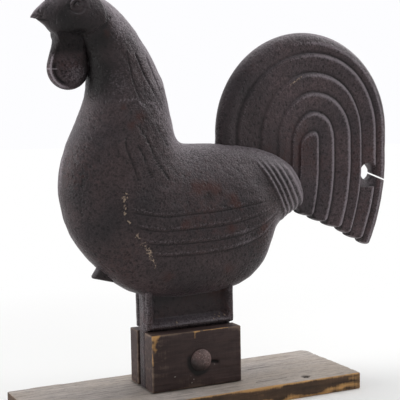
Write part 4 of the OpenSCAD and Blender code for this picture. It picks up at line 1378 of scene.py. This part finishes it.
def clamp_block(node, outer):
    """One block with a weathered outer face: outer is -1 for the front one, which has its marks, else 1."""
    low, high = node_box(node)
    points, faces = worn_box(low, high, 1.25, 1.1, 0.6)
    face_y = low[1] if outer < 0 else high[1]
    on_face = step(1.4, 0.4, np.abs(points[:, 1] - face_y))
    ridges = lumps(points * [0.07, 1, 1], 4.0) + 0.5 * lumps(points * [0.05, 1, 1], 2.0)
    points[:, 1] -= outer * on_face * np.clip(0.2 - 0.25 * ridges, 0, 0.6)
    rim = to_edge(points, low, high)
    marks = {"thin": 0.6 * bell(rim, 0, 1.8) + 0.15 + 0.2 * lumps(points, 24),
             "bare": 0.12 * bell(rim, 0, 1.2)}
    if outer < 0:
        xz = points[:, [0, 2]]
        bare, soot, chalk = front_marks(xz)
        points[:, 1] += GOUGE_DEPTH * on_face * soft_lines(xz, [GOUGE], 1.4)
        marks["thin"] += 0.5 * spots(xz, [(high[0], high[2], 7)])
        marks["bare"] = 2 * marks["bare"] + 0.7 * bare * on_face
        marks["soot"] = soot * step(6, 3, points[:, 1] - face_y)
        marks["chalk"] = chalk * on_face
    return make_piece(f"{node}_worn", points, faces, block_wood, "stand", node, "block_wood", **marks)


for node, outer in (("front_block", -1), ("rear_block", 1)):
    block = clamp_block(node, outer)
    print(block.name, len(block.data.polygons), "faces")

# %% [markdown]
# The hardware is plain iron and steel. The bolt's head is rusted to a purple brown and pitted, so it is
# no longer a bare metal to the eye; nut, washer and screws are dull grey steel with rust in spots. The
# screws keep the shape that the drawing gives them.

# %% Rusted iron and dull steel


def rusted_metal(name, dark, warm, rust, metal, smooth, rough):
    """Metal under rust: mottled colour, rust spots, painted shade by its attribute, and pitting at about 1.5
    mm.
    """
    material, tree, shader = new_material(name)
    place = add(tree, "ShaderNodeTexCoord").outputs["Object"]
    mottle, grit = (
        add(tree, "ShaderNodeTexNoise", [("Vector", place), ("Scale", 1 / (size * MM)),
                                         ("Detail", detail)]).outputs[0]
        for size, detail in ((6, 6.0), (1.6, 4.0))
    )
    soot = add(tree, "ShaderNodeAttribute", attribute_name="soot").outputs["Fac"]
    colour = linear(dark)
    for tone, pattern, start, full in ((warm, mottle, 0.35, 0.65), (rust, grit, 0.54, 0.66),
                                       ("#17100f", soot, 0, 1)):
        colour = blend(tree, colour, linear(tone), pattern, start, full)
    shader.inputs["Metallic"].default_value = metal
    surface(tree, shader, colour, (mottle, 0.3, 0.7, smooth, rough), [(mottle, 0.6, 1.8), (grit, 0.5, 0.6)])
    return material


bolt_iron = rusted_metal("rusted_wrought_iron", "#523e3b", "#775f5c", "#96817c", 0.0, 0.5, 0.75)
steel = rusted_metal("dull_rusting_steel", "#55504d", "#6f6a66", "#5a4034", 0.75, 0.4, 0.65)
frame["nodes"]["base_screws"].data.materials.clear()
frame["nodes"]["base_screws"].data.materials.append(steel)
print("hardware finishes:", bolt_iron.name, steel.name)

# %% [markdown]
# The carriage bolt is one profile turned round its axis: a domed head, a shank and a chamfered end. The
# thread is a real groove: the radius falls with a saw wave of y less a pitch per turn, which is a helix.

# %% Carriage bolt
BOLT_R, HEAD_R, HEAD_H, HEAD_RIM = 5.55, 13, 8, 1
THREAD_PITCH, THREAD_DEPTH, THREAD_FROM = 25.4 / 14, 0.85, 42
DOME_ROWS, DENTED_ROWS, SHANK_ROWS = 40, 38, 520
AXIS = (BOLT_X, 0, BOLT_Z)


def thread(y, t):
    """A saw wave along a helix, from 1 down to 0 and back: |2w - 1|, w the rest of y / pitch - t / (2 pi)."""
    return np.abs(2 * np.mod(y / THREAD_PITCH - t / (2 * np.pi), 1) - 1)


bolt_low, bolt_high = node_box("carriage_bolt")
head_back = bolt_low[1] + HEAD_H
dome_r = (HEAD_R**2 + (HEAD_H - HEAD_RIM) ** 2) / (2 * (HEAD_H - HEAD_RIM))
t = np.linspace(0, 1, DOME_ROWS) * np.arcsin(HEAD_R / dome_r)
head = np.stack([dome_r * np.sin(t), head_back - HEAD_H + dome_r * (1 - np.cos(t))], -1)
neck = [[HEAD_R, head_back - 0.45], [HEAD_R - 0.4, head_back], [BOLT_R, head_back]]
shank_y = np.linspace(head_back, bolt_high[1] - 1.2, SHANK_ROWS)
shank = np.stack([BOLT_R + 0 * shank_y, shank_y], -1)
end = [[BOLT_R - 1.1, bolt_high[1]], [0, bolt_high[1]]]
profile = np.concatenate([head, neck, shank, end])
bolt_points = turned(profile, SIDES, AXIS)
t = angles(SIDES)
on_thread = step(THREAD_FROM, THREAD_FROM + 2, profile[:, 1:] - head_back) * (profile[:, :1] == BOLT_R)
groove = THREAD_DEPTH * (1 - thread(profile[:, 1:], t)) * on_thread
bolt_points -= groove[..., None] * np.stack([np.cos(t), 0 * t, np.sin(t)], -1)
dome = bolt_points[:DENTED_ROWS]
bolt_points[:DENTED_ROWS, :, 1] += np.abs(0.4 * lumps(dome, 5) + 0.2 * lumps(dome, 2))
# Painted shade darkens the lower left of the head, the side turned from the light
shade_side = (bolt_points[..., [0, 2]] - [BOLT_X, BOLT_Z]) @ [-0.6, -0.8] / HEAD_R
bolt = make_piece("carriage_bolt_rusted", bolt_points, woven(bolt_points), bolt_iron, "stand",
                  "carriage_bolt", "bolt_iron", soot=0.95 * step(-0.45, 0.85, shade_side))
print("bolt:", len(bolt.data.polygons), "faces")

# %% [markdown]
# The washer is a turned ring with soft edges, a little wider inside than the bolt.

# %% Washer
WASHER_SOFT, BORE_PLAY, BORE_SOFT = 0.5, 0.3, 0.3
washer_low, washer_high = node_box("rear_washer")
inner, outer = washer_low[1], washer_high[1]
washer_r, washer_bore = (washer_high[0] - washer_low[0]) / 2, BOLT_R + BORE_PLAY
flat_r = washer_r - WASHER_SOFT
corner = np.radians(np.linspace(0, 90, 6))
round_in, round_out = WASHER_SOFT * np.sin(corner), WASHER_SOFT * np.cos(corner)
rim_in = np.stack([flat_r + round_in, inner + WASHER_SOFT - round_out], -1)
rim_out = np.stack([flat_r + round_out, outer - WASHER_SOFT + round_in], -1)
bore_in = [[washer_bore, inner + BORE_SOFT], [washer_bore + BORE_SOFT, inner]]
bore_out = [[washer_bore + BORE_SOFT, outer], [washer_bore, outer - BORE_SOFT]]
washer_points = turned(np.concatenate([bore_in, rim_in, rim_out, bore_out, bore_in[:1]]), SIDES, AXIS)
washer = make_piece("rear_washer_dull", washer_points, woven(washer_points), steel, "washer",
                    "rear_washer", "hardware_steel")
print("washer:", len(washer.data.polygons), "faces")

# %% [markdown]
# The square nut is a round grid too: its radius is that of a square, cut back by a cone where the corners
# were turned off, and its bore carries the thread.

# %% Square nut
NUT_AF, NUT_BORE, NUT_SOFT, NUT_SIDES, NUT_THREAD = 19, 5.61, 0.4, 256, 0.25
CORNER_R, CONE_R, BORE_CONE = NUT_AF / 2 * 1.36, NUT_AF * 0.56, 0.8
nut_low, nut_high = node_box("square_nut")
depth = nut_high[1] - nut_low[1]
t = angles(NUT_SIDES)
square = np.minimum(NUT_AF / 2 / np.maximum(np.abs(np.cos(t)), np.abs(np.sin(t))), CORNER_R)
h = np.linspace(0, depth, 48)[:, None]
cone = CONE_R + (depth - h) * (depth + NUT_AF * 0.5 - CONE_R) / depth
to_face = np.clip(np.minimum(h, depth - h) / NUT_SOFT, 0, 1)
soft = NUT_SOFT * (1 - np.sqrt(np.clip(1 - (1 - to_face) ** 2, 0, 1)))
outer_r = np.minimum(square, cone) - soft
bore_h = np.linspace(depth, 0, 90)[:, None]
mouth = BORE_CONE * step(BORE_CONE, 0, np.minimum(bore_h, depth - bore_h))
bore_r = NUT_BORE + NUT_THREAD * thread(bore_h, t) + mouth
nut_r = np.concatenate([outer_r, bore_r, outer_r[:1]])
nut_y = nut_low[1] + np.concatenate([h, bore_h, h[:1]]) + 0 * t
nut_points = np.stack([BOLT_X + nut_r * np.cos(t), nut_y, BOLT_Z + nut_r * np.sin(t)], -1)
nut = make_piece("square_nut_dull", nut_points, woven(nut_points), steel, "nut", "square_nut",
                 "hardware_steel")
print("nut:", len(nut.data.polygons), "faces")

# %% [markdown]
